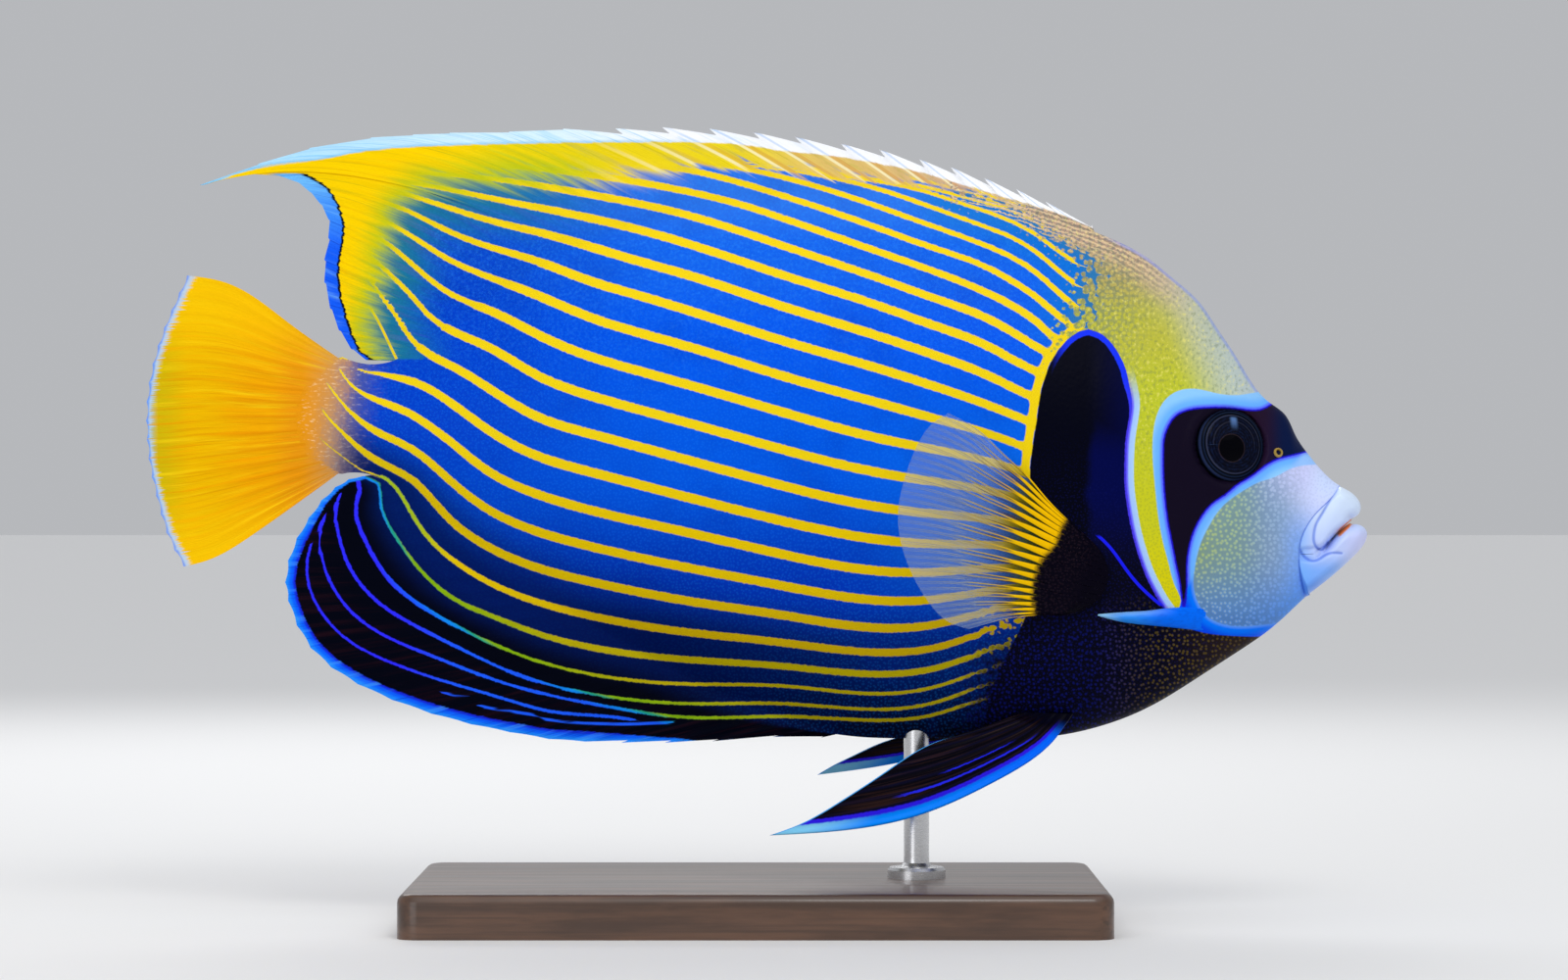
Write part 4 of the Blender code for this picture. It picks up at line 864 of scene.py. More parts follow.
def shoulder(fields, colour):
    """The dark shoulder patch and breast, with their blue rims."""
    x, soft, y, dot, grain = fields.take("x soft y dot grain")
    dark_d, jag, bead, slit_d = fields.take("dark_d jag bead slit_d")
    navy = ((x + soft * 30).rise(1109, 1118) * y.rise(415, 470)).math(
        "MAXIMUM", x.rise(1105, 1165) * 0.7)
    navy = navy.mix(rgb(3, 4, 18), rgb(2, 7, 66))
    navy = y.rise(500, 590).mix(navy, rgb(6, 6, 24))
    dots = dot.rise(0.34, 0.16)
    navy = coated(navy,
        (dots * y.rise(600, 660) * x.rise(1180, 1120) * 0.42, rgb(16, 28, 130)),
        (dots * x.rise(1110, 1210) * y.rise(600, 640) * 0.42, rgb(128, 106, 34)),
        (grain.rise(0.3, 0.1) * y.rise(420, 560) * 0.25, rgb(20, 26, 110)),
        (x.rise(1180, 1290) * y.rise(620, 640) * 0.5, rgb(60, 44, 30)))
    pale = rise_colour(dark_d, (1, rgb(104, 96, 255)), (3.5, rgb(160, 196, 248)), (8, rgb(170, 206, 246)))
    lavender = (dark_d + jag * 0.4).rise(8.6, 7.6) * x.rise(1136, 1146)
    lavender = lavender * y.rise(372, 420) * y.rise(626, 616)
    colour = lavender.mix(colour, pale)
    creeping = y.rise(625, 680) * (dark_d + (bead - 0.34) * 34).rise(44, -6)
    inside_dark = (dark_d + jag * 0.4).rise(0.7, -0.7).math("MAXIMUM", creeping)
    colour = inside_dark.mix(colour, navy)
    width = y.rise(430, 385) * 2 + 0.8
    rim = (width - abs(dark_d + width) + jag * 0.8).rise(-0.6, 0.6) * y.rise(628, 612) * x.rise(1072, 1092)
    colour = rim.mix(colour, y.rise(380, 440).mix(rgb(22, 50, 240), rgb(70, 56, 232)))
    slit = abs(slit_d).rise(2, 1.2) * y.rise(545, 549) * y.rise(620, 616)
    return slit.mix(colour, rgb(26, 30, 244))


def face(fields, colour):
    """The pale band round the mask, the mask and the cheek."""
    band_d, jag, mask_d, cheek_d, x, y, dot, grain = fields.take("band_d jag mask_d cheek_d x y dot grain")
    band = (band_d + jag * 0.3).rise(0.7, -0.7)
    band_colour = rise_colour(mask_d, (1, rgb(86, 100, 255)), (5, rgb(104, 176, 255)),
                              (15, rgb(140, 200, 255)))
    under = rise_colour(cheek_d, (0, rgb(90, 150, 250)), (4, rgb(0, 116, 255)), (14, rgb(4, 70, 244)))
    under = (x.rise(1268, 1330) * y.rise(520, 490)).mix(under, rgb(150, 196, 255))
    band_colour = attribute("below_mask").mix(band_colour, under)
    colour = band.mix(colour, band_colour)
    cheek = rise_colour(x, (1215, rgb(152, 176, 104)), (1255, rgb(146, 176, 150)),
                        (1300, rgb(144, 172, 206)), (1350, rgb(206, 216, 255)))
    cheek = coated(cheek,
        (y.rise(555, 640) * 0.85, rgb(70, 140, 236)),
        (y.rise(530, 470) * x.rise(1270, 1320) * 0.8, rgb(206, 208, 250)),
        (x.rise(1296, 1330) * y.rise(505, 560) * 0.65, rgb(72, 150, 250)),
        (x.rise(1330, 1352) * y.rise(520, 490) * 0.5, rgb(198, 224, 255)),
        (dot.rise(0.24, 0.44) * x.rise(1350, 1270) * 0.5, rgb(86, 116, 150)),
        (dot.rise(0.26, 0.1) * x.rise(1320, 1240) * 0.36, rgb(206, 206, 120)),
        (grain.rise(0.4, 0.1) * 0.12, rgb(90, 110, 170)))
    colour = (cheek_d + jag * 0.3).rise(0.9, -0.9).mix(colour, cheek)
    mask_colour = x.rise(1260, 1325).mix(rgb(18, 12, 30), rgb(8, 24, 64))
    mask_colour = (x.rise(1240, 1280) * y.rise(505, 470) * x.rise(1310, 1290) * 0.5).mix(
        mask_colour, rgb(44, 18, 34))
    colour = coated(colour,
        ((mask_d + jag * 0.6).rise(1.2, 0.2), rgb(30, 20, 200)),
        ((mask_d + jag * 0.6).rise(-0.2, -1.4), mask_colour))
    return colour


def fin_edges(fields, colour):
    """The pale and blue edges of the fins."""
    x, white_d, thread, streak, ray, dorsal = fields.take("x white_d thread streak ray dorsal")
    jag, y, rear_d, anal, edge, caudal = fields.take("jag y rear_d anal edge caudal")
    white = rise_colour(x, (250, rgb(170, 220, 250)), (520, rgb(212, 240, 254)),
                        (700, rgb(246, 248, 252)))
    white = coated(white,
        (white_d.rise(-4, 0) * x.rise(760, 620) * 0.6, rgb(96, 184, 232)),
        (thread.rise(0.02, 0.2) * x.rise(820, 600) * 0.6, rgb(110, 190, 240)),
        (streak.rise(0, 0.2) * x.rise(900, 700) * 0.4, rgb(150, 210, 244)),
        ((ray + 0.1).wave().rise(0.1, 0.03) * x.rise(640, 740) * 0.5, rgb(150, 186, 236)))
    colour = (dorsal * (white_d + jag * 0.6 + streak * 5).rise(1, -1)).mix(colour, white)
    rear = dorsal * x.rise(420, 410) * y.rise(176, 178) * x.rise(268, 292)
    rear_d = rear_d + streak * 7 + thread * 3
    colour = (rear * (rear_d + jag).rise(-3, -1.8)).mix(colour, rgb(6, 10, 22))
    azure = rise_colour(y, (180, rgb(110, 190, 250)), (215, rgb(60, 140, 248)), (260, rgb(20, 92, 244)))
    azure = coated(azure,
        (thread.rise(0, 0.2) * 0.5, rgb(12, 56, 190)),
        (streak.rise(0, -0.25) * 0.5, rgb(120, 190, 255)))
    colour = (rear * (rear_d + jag).rise(-0.8, 0.6)).mix(colour, azure)
    width = x.rise(720, 600) * y.rise(478, 560) * 7 + x.rise(720, 690) * 3 + thread * 3
    edge_line = anal * (width - edge + jag * 0.5).rise(-0.8, 0.8)
    edge_colour = rise_colour(edge, (1, rgb(30, 140, 255)), (6, rgb(10, 96, 255)), (9, rgb(20, 40, 220)))
    edge_colour = coated(edge_colour,
        (thread.rise(0, 0.2) * 0.55, rgb(6, 56, 190)),
        (streak.rise(0, -0.2) * 0.4, rgb(80, 176, 255)))
    colour = edge_line.mix(colour, edge_colour)
    fringe = caudal * x.rise(215, 190)
    fringe_colour = rise_colour(edge, (1, rgb(96, 150, 246)), (4, rgb(176, 206, 240)))
    colour = (fringe * (edge + thread * 22 - abs(y - 440) * 0.02).rise(7, 2) * 0.9).mix(
        colour, fringe_colour)
    return colour


def skin_material(looks):
    """The paint of the body and its median fins, with the relief of scales and fin rays."""
    made, surface = new_material("angelfish_skin")
    fields = skin_fields()
    colour = stripes(fields, blue_ground(fields), looks["yellow"])
    for paint in (dorsal_field, nape, tail_paint, anal_fin, shoulder, face, fin_edges):
        colour = paint(fields, colour)
    dorsal, anal, caudal, thread = fields.take("dorsal anal caudal thread")
    plug(surface, {"Base Color": colour, "Roughness": 0.38, "Specular IOR Level": 0.02})
    fin_any = (dorsal + anal + caudal).math("MINIMUM", 1)
    scales = soft_cells(place(), 800) * (1 - fin_any)
    lumps = bump(scales * -1, looks["relief"], 0.0002)
    plug(surface, {"Normal": bump(thread * fin_any, 0.3, 0.0003, {"Normal": lumps})})
    return made


def stripe_half_width(x, y, stripe, fin):
    """Half the width of the stripe nearest to each point of the drawing."""
    def along(places, widths):
        return np.interp(x, places, widths)

    half = np.interp(stripe, *STRIPE_HALF)
    half *= 1 + (np.interp(y, (240, 320, 450), (0.9, 1.08, 0.85)) - 1) * smoothstep(x, 900, 1000)
    half *= along((400, 560), (0.8, 1.0))
    # the ends on the tail stalk
    ends = np.interp(stripe, *STALK_ENDS)
    taper = np.interp(x - ends, (-4, 0, 16, 50), (-0.6, 0.3, 0.45, 1.0))
    body, caudal = fin == BODY, fin == CAUDAL
    half = np.where((body & (y > 367)) | caudal, half * taper, half)
    last = np.where(stripe < 16.5, 1.3, HIDDEN)
    half = np.where((body | caudal) & (x < 388) & (stripe > 15.5), last, half)
    half = np.where(caudal & (x < ends) | (x < 325) & body, HIDDEN, half)
    # thinner in the dorsal fin, over the anal fin's root and at the belly
    half *= np.where(fin == DORSAL, along((380, 480, 600), (0.62, 0.72, 1.0)), 1.0)
    over_root = (stripe > 15.5) & (stripe < 17.5)
    half *= np.where(over_root, along((388, 430, 500, 620), (0.5, 0.62, 0.8, 1.0)), 1.0)
    half = np.where(stripe > 17.5, np.minimum(half, along((430, 480, 720), (2.3, 1.7, 1.7))), half)
    return half - np.where(stripe > 20.5, 5 * smoothstep(x, 645, 665), 0)


def skin_attributes(points, ray, s, fin):
    """The fields that the skin's paint reads, for points in millimetres."""
    seen = flank(points)
    x, y = seen.T
    stripe, spacing = stripe_fields(seen)
    half = stripe_half_width(x, y, stripe, fin)
    margin = np.full(len(points), FAR)
    for number, line in ((DORSAL, DORSAL_TIPS), (ANAL, ANAL_TIPS), (CAUDAL, CAUDAL_REAR)):
        of = fin == number
        margin[of] = np.abs(distance_to(seen[of], to_px(line)))
    ridge = to_px(BACK_PATH[(BACK_PATH[:, 0] > 55) & (BACK_PATH[:, 0] < 147)][::4])
    profile = np.abs(distance_to(seen, ridge))
    forehead = smoothstep(x, 1140, 1280) * (1 - smoothstep(profile, 2, 58 + np.clip(x - 1190, 0, 90) * 0.5))
    crown = (1 - smoothstep(x, 1170, 1250)) * (1 - smoothstep(profile, 4, 36))
    beige = np.interp(x, [1020, 1060, 1130], [-8, 6, 24]) - profile
    tail = 1 - smoothstep(x + 0.22 * (y - 425), 290, 412)
    tail = np.where((fin == DORSAL) | (fin == ANAL), 0.0, tail)
    tail = np.where(fin == CAUDAL, 1.0, tail)
    below = smoothstep(y - np.interp(x, [1190, 1208, 1330], [640, 600, 462]), -4, 6)
    closed = {name: distance_to(seen, smooth_path(path, 320), closed=True) for name, path in
              (("dark", DARK), ("mask", MASK), ("band", BAND_FRONT), ("cheek", CHEEK))}
    opened = {name: distance_to(seen, smooth_path(path, 200)) for name, path in
              (("yellow_area", YELLOW_AREA), ("gill_slit", GILL_SLIT), ("white_edge", WHITE_EDGE),
               ("rear_edge", REAR_EDGE), ("head_line", HEAD_LINE))}
    opened["yellow_area"] = np.where((fin == DORSAL) | ((y < 367) & (x > 385)), -opened["yellow_area"], FAR)
    opened["yellow_area"] += 12 * smoothstep(y, 280, 330)
    opened["head_line"] = np.where(y < 640, np.maximum(-opened["head_line"], beige), -FAR)
    line_end = np.where(stripe > 17.6, y - np.interp(stripe, *ANAL_ENDS), 9.0)
    turn = x - np.interp(stripe, *GREEN_TURNS)
    opened["dash"] = 0.4 + np.min([np.abs(distance_to(seen, path)) for path in DASHES], axis=0)
    opened["last_line"] = np.where(fin == DORSAL, distance_to(seen, smooth_path(LAST_LINE, 30)), FAR)
    return {
        "flank_x": x, "flank_y": y, "stripe": stripe, "spacing": spacing, "stripe_half": half,
        "ray": ray, "along_ray": s, "margin": margin, "line_end": line_end, "turn": turn,
        "dorsal": fin == DORSAL, "anal": fin == ANAL, "caudal": fin == CAUDAL, "forehead": forehead,
        "crown": crown, "profile": profile, "tail": tail, "below_mask": below, **closed, **opened,
    }


def settle(made, slot_name, *nodes):
    """Fixes a finished piece to the model, in place of the CAD's own pieces."""
    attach(made, "root")
    if nodes:
        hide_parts(*nodes)
    return made


class AngelfishLooks(bpy.types.PropertyGroup):
    """The colours of the fish."""

    yellow: bpy.props.FloatVectorProperty(
        name="Yellow", description="Colour of the stripes on the upper flank", subtype="COLOR", size=3,
        default=rgb(242, 210, 22), min=0, max=1)
    iris: bpy.props.FloatVectorProperty(
        name="Iris", description="Colour of the iris", subtype="COLOR", size=3, default=rgb(9, 12, 28),
        min=0, max=1)
    scale_relief: bpy.props.FloatProperty(
        name="Scale relief", description="Strength of the scales' relief", default=0.25, min=0, max=1)


class AngelfishStand(bpy.types.PropertyGroup):
    """The sizes and colours of the display stand."""

    chamfer: bpy.props.FloatProperty(
        name="Chamfer", description="Width of the base's rounded edge", default=0.0025, min=0.0005,
        max=0.005, unit="LENGTH")
    wood: bpy.props.FloatVectorProperty(
        name="Wood", description="Colour of the base", subtype="COLOR", size=3,
        default=(0.055, 0.026, 0.014), min=0, max=1)


class ANGELFISH_OT_skin(bpy.types.Operator):
    """Build the skin of the body with its dorsal, anal and tail fins"""

    bl_idname = "angelfish.skin"
    bl_label = "Skin"

    def execute(self, context):
        parts = skin_sheets()
        body = parts[0]
        flat = body["sheet"].reshape(-1, 2)
        half = body["half"].reshape(-1)
        body["half"] = np.maximum(half + skin_relief(flat, half), 0.2).reshape(body["half"].shape)
        bm, index = thick_sheets([(part["sheet"], -part["half"], part["half"]) for part in parts])
        joined = {key: np.concatenate([np.asarray(part[key]).reshape(-1) for part in parts])[index]
                  for key in ("ray", "s")}
        fin = np.concatenate([np.full(part["s"].size, part["fin"]) for part in parts])[index]
        points = mesh_points(bm)
        looks = context.scene.angelfish_looks
        material = skin_material({"yellow": tuple(looks.yellow), "relief": looks.scale_relief})
        fields = skin_attributes(points, joined["ray"], joined["s"], fin)
        made = add_object(bm, "skin", [material], 75, fields)
        settle(made, "torso", "head", "torso", "tail_stalk", "dorsal_fin", "anal_fin", "caudal_fin")
        return {"FINISHED"}


def lip_material():
    """Pale blue lips, with painted shade (a darker blue) in their folds and along their crease with the
    skin, and orange inside the mouth.
    """
    made, surface = new_material("angelfish_lips")
    x, y, fold = attribute("flank_x"), attribute("flank_y"), attribute("fold")
    colour = rise_colour(y, (500, rgb(214, 232, 255)), (560, rgb(190, 208, 255)),
                         (585, rgb(120, 170, 248)), (604, rgb(84, 140, 240)))
    colour = coated(colour,
        (x.rise(1345, 1326) * 0.6, rgb(110, 176, 252)),
        (x.rise(1360, 1392) * y.rise(535, 550) * 0.6, rgb(206, 204, 248)),
        # painted shade: a darker blue along the folds and along the crease where the lips meet the skin
        (fold.rise(2.2, 0.4) * 0.6, rgb(40, 96, 214)))
    inner = attribute("inner").rise(0.5, 0.9)
    colour = inner.mix(colour, rgb(232, 140, 84))
    plug(surface, {"Base Color": colour, "Roughness": 0.34, "Specular IOR Level": 0.3})
    return made


def rounded(distance, radius):
    """A quarter circle's rise from 0 at the edge to 1 at the radius."""
    return np.sqrt(np.clip(1 - (1 - np.clip(distance / radius, 0, 1)) ** 2, 0.0, 1))


class ANGELFISH_OT_lips(bpy.types.Operator):
    """Build the upper and lower lips with the folds of the jaws"""

    bl_idname = "angelfish.lips"
    bl_label = "Lips"

    def execute(self, context):
        made = lip_material()
        crease = smooth_path(LIP_CREASE, 300)
        mouth = smooth_path(MOUTH_LINE, 90)
        corner = int(np.argmin(np.abs(crease[:, 1] - mouth[-1, 1])))
        part = np.interp(mouth[:, 0], [152, 162], [0.06, 0.4])[:, None]
        upper_outer, lower_outer = smooth_path(UPPER_LIP, 60), smooth_path(LOWER_LIP, 60)
        upper = np.vstack([upper_outer, mouth + part * (0.4, 1.0)])
        lower = np.vstack([(mouth - part * (0.25, 1.0))[::-1], lower_outer[::-1]])
        across = (1 - np.cos(np.linspace(0, math.pi, 61)))[:, None, None] / 2
        along = np.linspace(0, 1, 150)
        for name, inner_edge, outer, skin_edge, roll_path in (
                ("upper_lip", crease[:corner + 1], upper, upper_outer, UPPER_ROLL),
                ("lower_lip", crease[corner:], lower, lower_outer, LOWER_ROLL)):
            sheet = (1 - across) * resampled(inner_edge, along) + across * resampled(outer, along)
            flat = sheet.reshape(-1, 2)
            body = half_thickness(flat[:, 0], flat[:, 1])
            ahead = (flat[:, 0] - JAW_MIDDLE) / JAW_LENGTH
            wide = np.maximum(body, JAW_HALF_WIDTH * np.sqrt(np.clip(1 - ahead**2, 0.001, 1)))
            from_skin = np.abs(distance_to(flat, skin_edge))
            to_mouth = np.abs(distance_to(flat, mouth))
            roll, turn = rounded(from_skin, LIP_ROUND), rounded(to_mouth, MOUTH_ROUND)
            roll = roll * np.maximum(turn, 0.9 * (1 - smoothstep(flat[:, 0], 152.5, 160.5)))
            half = np.maximum(wide * roll, 0.2)
            blend = smoothstep(np.abs(distance_to(flat, crease)), 0.0, 2.2)
            half = np.minimum(half, body - 0.25 + blend * 9)
            seen = flank(np.stack([flat[:, 0], half, flat[:, 1]], axis=1))
            swell = np.exp(-(distance_to(seen, smooth_path(roll_path, 60)) / 8.0) ** 2)
            fold = np.minimum(np.abs(distance_to(seen, smooth_path(UPPER_FOLD, 90))),
                              np.abs(distance_to(seen, smooth_path(LOWER_FOLD, 90))))
            relief = LIP_SWELL * swell - FOLD_DEPTH * np.exp(-((fold * UNIT) / 0.5) ** 2)
            half = (half + relief * np.clip(half / 4, 0, 1)).reshape(sheet.shape[:2])
            fold = np.minimum(fold, np.abs(distance_to(flat, crease)) / UNIT)
            bm, index = thick_sheets([(sheet, -half, half)])
            points = mesh_points(bm)
            seen = flank(points)
            forward = points[:, 0]
            deep = 1 - smoothstep(np.abs(points[:, 1]) / np.maximum(wide[index], 0.1), 0.2, 0.75)
            gape = smoothstep(forward, 157.2, 159.0) * (1 - smoothstep(forward, 163.0, MOUTH_FRONT))
            near = 0.5 if name == "lower_lip" else 0.3
            inner = np.maximum(deep, gape) * (1 - smoothstep(to_mouth[index], near, near + 1.0))
            inner *= smoothstep(forward, 158.4, 160.4) * (forward < MOUTH_FRONT)
            fields = {"flank_x": seen[:, 0], "flank_y": seen[:, 1], "fold": fold[index], "inner": inner}
            settle(add_object(bm, name, [made], 80, fields), "lips", name)
        return {"FINISHED"}


def outward(x, z, side):
    """The way that a flank faces at a point of the side view."""
    slope = [float(half_thickness(x + dx, z + dz)) for dx, dz in ((1, 0), (-1, 0), (0, 1), (0, -1))]
    return Vector((-(slope[0] - slope[1]) / 2, side, -(slope[2] - slope[3]) / 2)).normalized()


def placed(x, y, z, facing):
    """A transform that sets a piece down at a point in millimetres, its own +Z along facing."""
    turn = facing.to_track_quat("Z", "Y").to_matrix().to_4x4()
    return Matrix.Translation((x * MM, y * MM, z * MM)) @ turn


def eye_height(radius):
    """How far the eye stands out of its middle plane, in millimetres: a dome in a ringed rim."""
    dome = CORNEA_RISE * (1 - smoothstep(radius, 0.0, CORNEA)) + EYE_HEIGHT - 0.011 * radius**2
    groove = -0.35 * np.exp(-((radius - EYE_GROOVE) / 0.3) ** 2)
    rim = 0.25 * np.exp(-((radius - EYE_RIM) / 0.35) ** 2)
    return (dome + groove + rim) * np.sqrt(np.clip(1 - (radius / EYE_RADIUS) ** 12, 0, 1))


def eye_material(iris):
    """A dark ringed iris, a black pupil and a pale glint on the rim."""
    made, surface = new_material("angelfish_eye")
    radius, around = attribute("radius"), attribute("around")
    thread = noise(flat_place(around * 5, radius * 1.5), 1, 2)
    colour = (thread.rise(0.4, 0.75) * 0.45).mix(iris, rgb(18, 34, 72))
    colour = ((radius * 1.2).wave().rise(0.25, 0.02) * 0.75).mix(colour, rgb(2, 2, 5))
    pupil = attribute("pupil")
    sheen = (abs(around - 1.5) * radius).rise(1.5, 0.3) * radius.rise(7.9, 7) * radius.rise(3.4, 7)
    colour = coated(colour,
        (sheen * 0.8, rgb(84, 120, 176)),
        (abs(radius - 6.2).rise(0.25, 0.05) * around.rise(-0.4, 0.4) * 0.14, rgb(84, 84, 96)),
        (abs(pupil - 3.8).rise(0.2, 0.08) * 0.16, rgb(90, 66, 50)),
        (pupil.rise(3.75, 3.6), (0.0008, 0.0008, 0.002)),
        (radius.rise(7.9, 8.2), rgb(4, 7, 18)),
        (abs(radius - 8.05).rise(0.22, 0.08) * 0.6, rgb(60, 66, 92)),
        (abs(radius - 8.9).rise(0.3, 0.1) * 0.5, rgb(24, 40, 70)),
        (abs(radius - 9.7).rise(0.3, 0.1) * 0.8, rgb(46, 60, 100)))
    plug(surface, {"Base Color": colour,
                   "Roughness": radius.rise(7.7, 8.4) * 0.2 + 0.1,
                   "Specular IOR Level": 0.03})
    return made


class ANGELFISH_OT_eyes(bpy.types.Operator):
    """Build both eyes"""

    bl_idname = "angelfish.eyes"
    bl_label = "Eyes"

    def execute(self, context):
        made = eye_material(tuple(context.scene.angelfish_looks.iris))
        for side, hand in SIDES:
            bm = bmesh.new()
            bmesh.ops.create_uvsphere(bm, u_segments=96, v_segments=64, radius=1)
            points = np.array([vert.co for vert in bm.verts])
            radius = np.hypot(points[:, 0], points[:, 1]) * EYE_RADIUS
            for vert, point, r in zip(bm.verts, points, radius):
                height = eye_height(r) if point[2] >= 0 else 5 * point[2]
                vert.co = (point[0] * EYE_RADIUS * MM, point[1] * EYE_RADIUS * MM, float(height) * MM)
            x, z = EYE_CENTRE
            socket = placed(x, side * EYE_DEPTH, z, outward(x, z, side))
            bmesh.ops.transform(bm, matrix=socket, verts=bm.verts[:])
            around = np.arctan2(points[:, 1], points[:, 0])
            pupil = np.hypot(points[:, 0] * EYE_RADIUS - side * EYE_BACK,
                             points[:, 1] * EYE_RADIUS + EYE_DROP)
            fields = {"radius": np.where(points[:, 2] >= -0.01, radius, EYE_RADIUS), "around": around,
                      "pupil": pupil}
            settle(add_object(bm, "eye_" + hand, [made], 80, fields), "eye", "eye_" + hand)
        return {"FINISHED"}


def nostril_material():
    """A tan tube with painted shade, near black, in its bore."""
    made, surface = new_material("angelfish_nostril")
    deep = attribute("deep")
    # painted shade: the recess inside the tube is darkened to near black
    colour = deep.mix(rgb(176, 146, 66), rgb(14, 10, 8))
    plug(surface, {"Base Color": colour, "Roughness": 0.4})
    return made


class ANGELFISH_OT_nostrils(bpy.types.Operator):
    """Build the tube of each nostril"""

    bl_idname = "angelfish.nostrils"
    bl_label = "Nostrils"

    def execute(self, context):
        made = nostril_material()
        for side, hand in SIDES:
            bm = spun(NOSTRIL_PROFILE, 28, caps=True)
            deep = np.array([v.co.xy.length < 0.8 * MM and v.co.z < 0.3 * MM for v in bm.verts])
            x, z = NOSTRIL
            tube = placed(x, side * float(half_thickness(x, z)), z, outward(x, z, side))
            bmesh.ops.transform(bm, matrix=tube, verts=bm.verts[:])
            bmesh.ops.recalc_face_normals(bm, faces=bm.faces[:])
            settle(add_object(bm, "nostril_" + hand, [made], 60, {"deep": deep}), "head")
        return {"FINISHED"}


def side_fin(sheet, side, stand_off, thick):
    """A paired fin's sheet with the y of its two faces, in millimetres."""
    lie = half_thickness(sheet[..., 0], sheet[..., 1]) - 0.2
    inner = np.maximum(lie, stand_off)
    return sheet, side * (inner + thick), side * inner


def pectoral_material():
    """Yellow rays that branch twice in a see-through web, over a dark root."""
    made, surface = new_material("angelfish_pectoral")
    here = place()
    ray, s = attribute("ray"), attribute("along_ray")
    fine = noise(here, 900, 3, 0.6)
    far = attribute("mm_out")
    speck = noise(flat_place(ray * 8, s * 3), 1, 2) - 0.5
    broad = s.rise(0.56, 0.24) * 0.34 + 0.1
    crest = (broad - ray.wave() + speck * 0.16).rise(-0.04, 0.05)
    halves = (abs(ray.wave() - 0.13 - s * 0.05) + speck * 0.1).rise(0.08, 0.03)
    quarters = (abs((ray * 2).wave() - 0.13) + speck * 0.1).rise(0.08, 0.03)
    fan = crest * s.rise(0.54, 0.44) + s.rise(0.42, 0.52) * s.rise(0.78, 0.68) * halves
    fan = (fan + s.rise(0.66, 0.76) * quarters * 0.8).math("MINIMUM", 1)
    colour = rise_colour(s, (0.24, rgb(240, 186, 0)), (0.45, rgb(232, 184, 4)), (0.62, rgb(176, 150, 50)),
                         (0.8, rgb(150, 150, 120)), (1, rgb(120, 140, 170)))
    veil = rise_colour(s, (0.3, rgb(20, 26, 8)), (0.46, rgb(70, 84, 30)), (0.64, rgb(140, 170, 210)))
    umber = speck.rise(0.02, 0.16) * s.rise(0.34, 0.42) * s.rise(0.95, 0.5) * (1 - fan)
    veil = umber.mix(veil, rgb(84, 58, 22))
    colour = fan.mix(veil, colour)
    lobe = flat_cells(attribute("flank_x"), attribute("flank_y"), 3.4).rise(0.4, 0.1)
    lobe = (lobe * far.rise(-13, -4) * 0.4).mix(rgb(6, 4, 16), rgb(44, 30, 40))
    root = (far + (fine - 0.5) * 2.2 + crest * -1.6).rise(1.2, -0.8)
    colour = coated(colour,
        (root, lobe),
        (attribute("rim").rise(0.6, 0.2) * s.rise(0.3, 0.5) * 0.5, rgb(150, 176, 206)))
    plug(surface, {"Base Color": colour, "Roughness": 0.4, "Specular IOR Level": 0.02})
    solid = fan * s.rise(1.3, 0.55) * 0.68 + 0.15 + s.rise(0.52, 0.32) * 0.66 + umber * 0.45
    plug(surface, {"Alpha": solid.math("MINIMUM", 1.0),
                   "Normal": bump(crest * (1 - root) + fine * 0.2, 0.3, 0.0003)})
    return made


class ANGELFISH_OT_pectoral_fins(bpy.types.Operator):
    """Build both pectoral fins with their fleshy bases"""

    bl_idname = "angelfish.pectoral_fins"
    bl_label = "Pectoral fins"

    def execute(self, context):
        made = pectoral_material()
        steps, rows = 8, 64
        count = (PECTORAL_RAYS - 1) * steps + 1
        s = np.linspace(0, 1, rows)
        ray = np.arange(count) / steps
        lobe, edge = smooth_path(PECTORAL_LOBE, count), smooth_path(PECTORAL_EDGE, count)
        top, low = (resampled(smooth_path(path, 80), s) for path in (PECTORAL_TOP, PECTORAL_LOW))
        sheet = patch(lobe, edge, top, low)
        s = s[:, None]
        opening = np.clip(s - 0.18, 0, 1) ** 1.3 / 0.8**1.3
        stand_off = float(half_thickness(80.0, 97.0)) + PECTORAL_SPREAD * opening
        stand_off = stand_off + 0 * sheet[..., 0] + 0.5 * np.sin(ray * 0.7)[None, :] * s**2
        crest = (0.5 + 0.5 * np.cos(2 * math.pi * ray))[None, :]
        thick = np.clip(3.2 * (1 - s / 0.45), 0.35, 3.2) * np.clip(s * 10, 0.12, 1)
        thick = thick + 0.25 * crest * (1 - s**3) * smoothstep(s, 0.2, 0.34)
        u = np.linspace(0, 1, count)[None, :]
        thick = thick * np.clip(np.minimum(u, 1 - u) * 14 + 0.25, 0, 1)
        for side, hand in SIDES:
            bm, index = thick_sheets([side_fin(sheet, side, stand_off, thick)])
            seen = flank(mesh_points(bm))
            rim = np.abs(distance_to(sheet.reshape(-1, 2), PECTORAL_EDGE))
            fields = {"ray": spread_over(ray, thick, index), "rim": rim[index],
                      "flank_x": seen[:, 0], "flank_y": seen[:, 1],
                      "along_ray": spread_over(s, thick, index),
                      "mm_out": distance_to(seen, smooth_path(PECTORAL_DARK, 60)) * UNIT}
            name = "pectoral_fin_" + hand
            settle(add_object(bm, name, [made], 80, fields), "pectoral_fin", name)
        return {"FINISHED"}


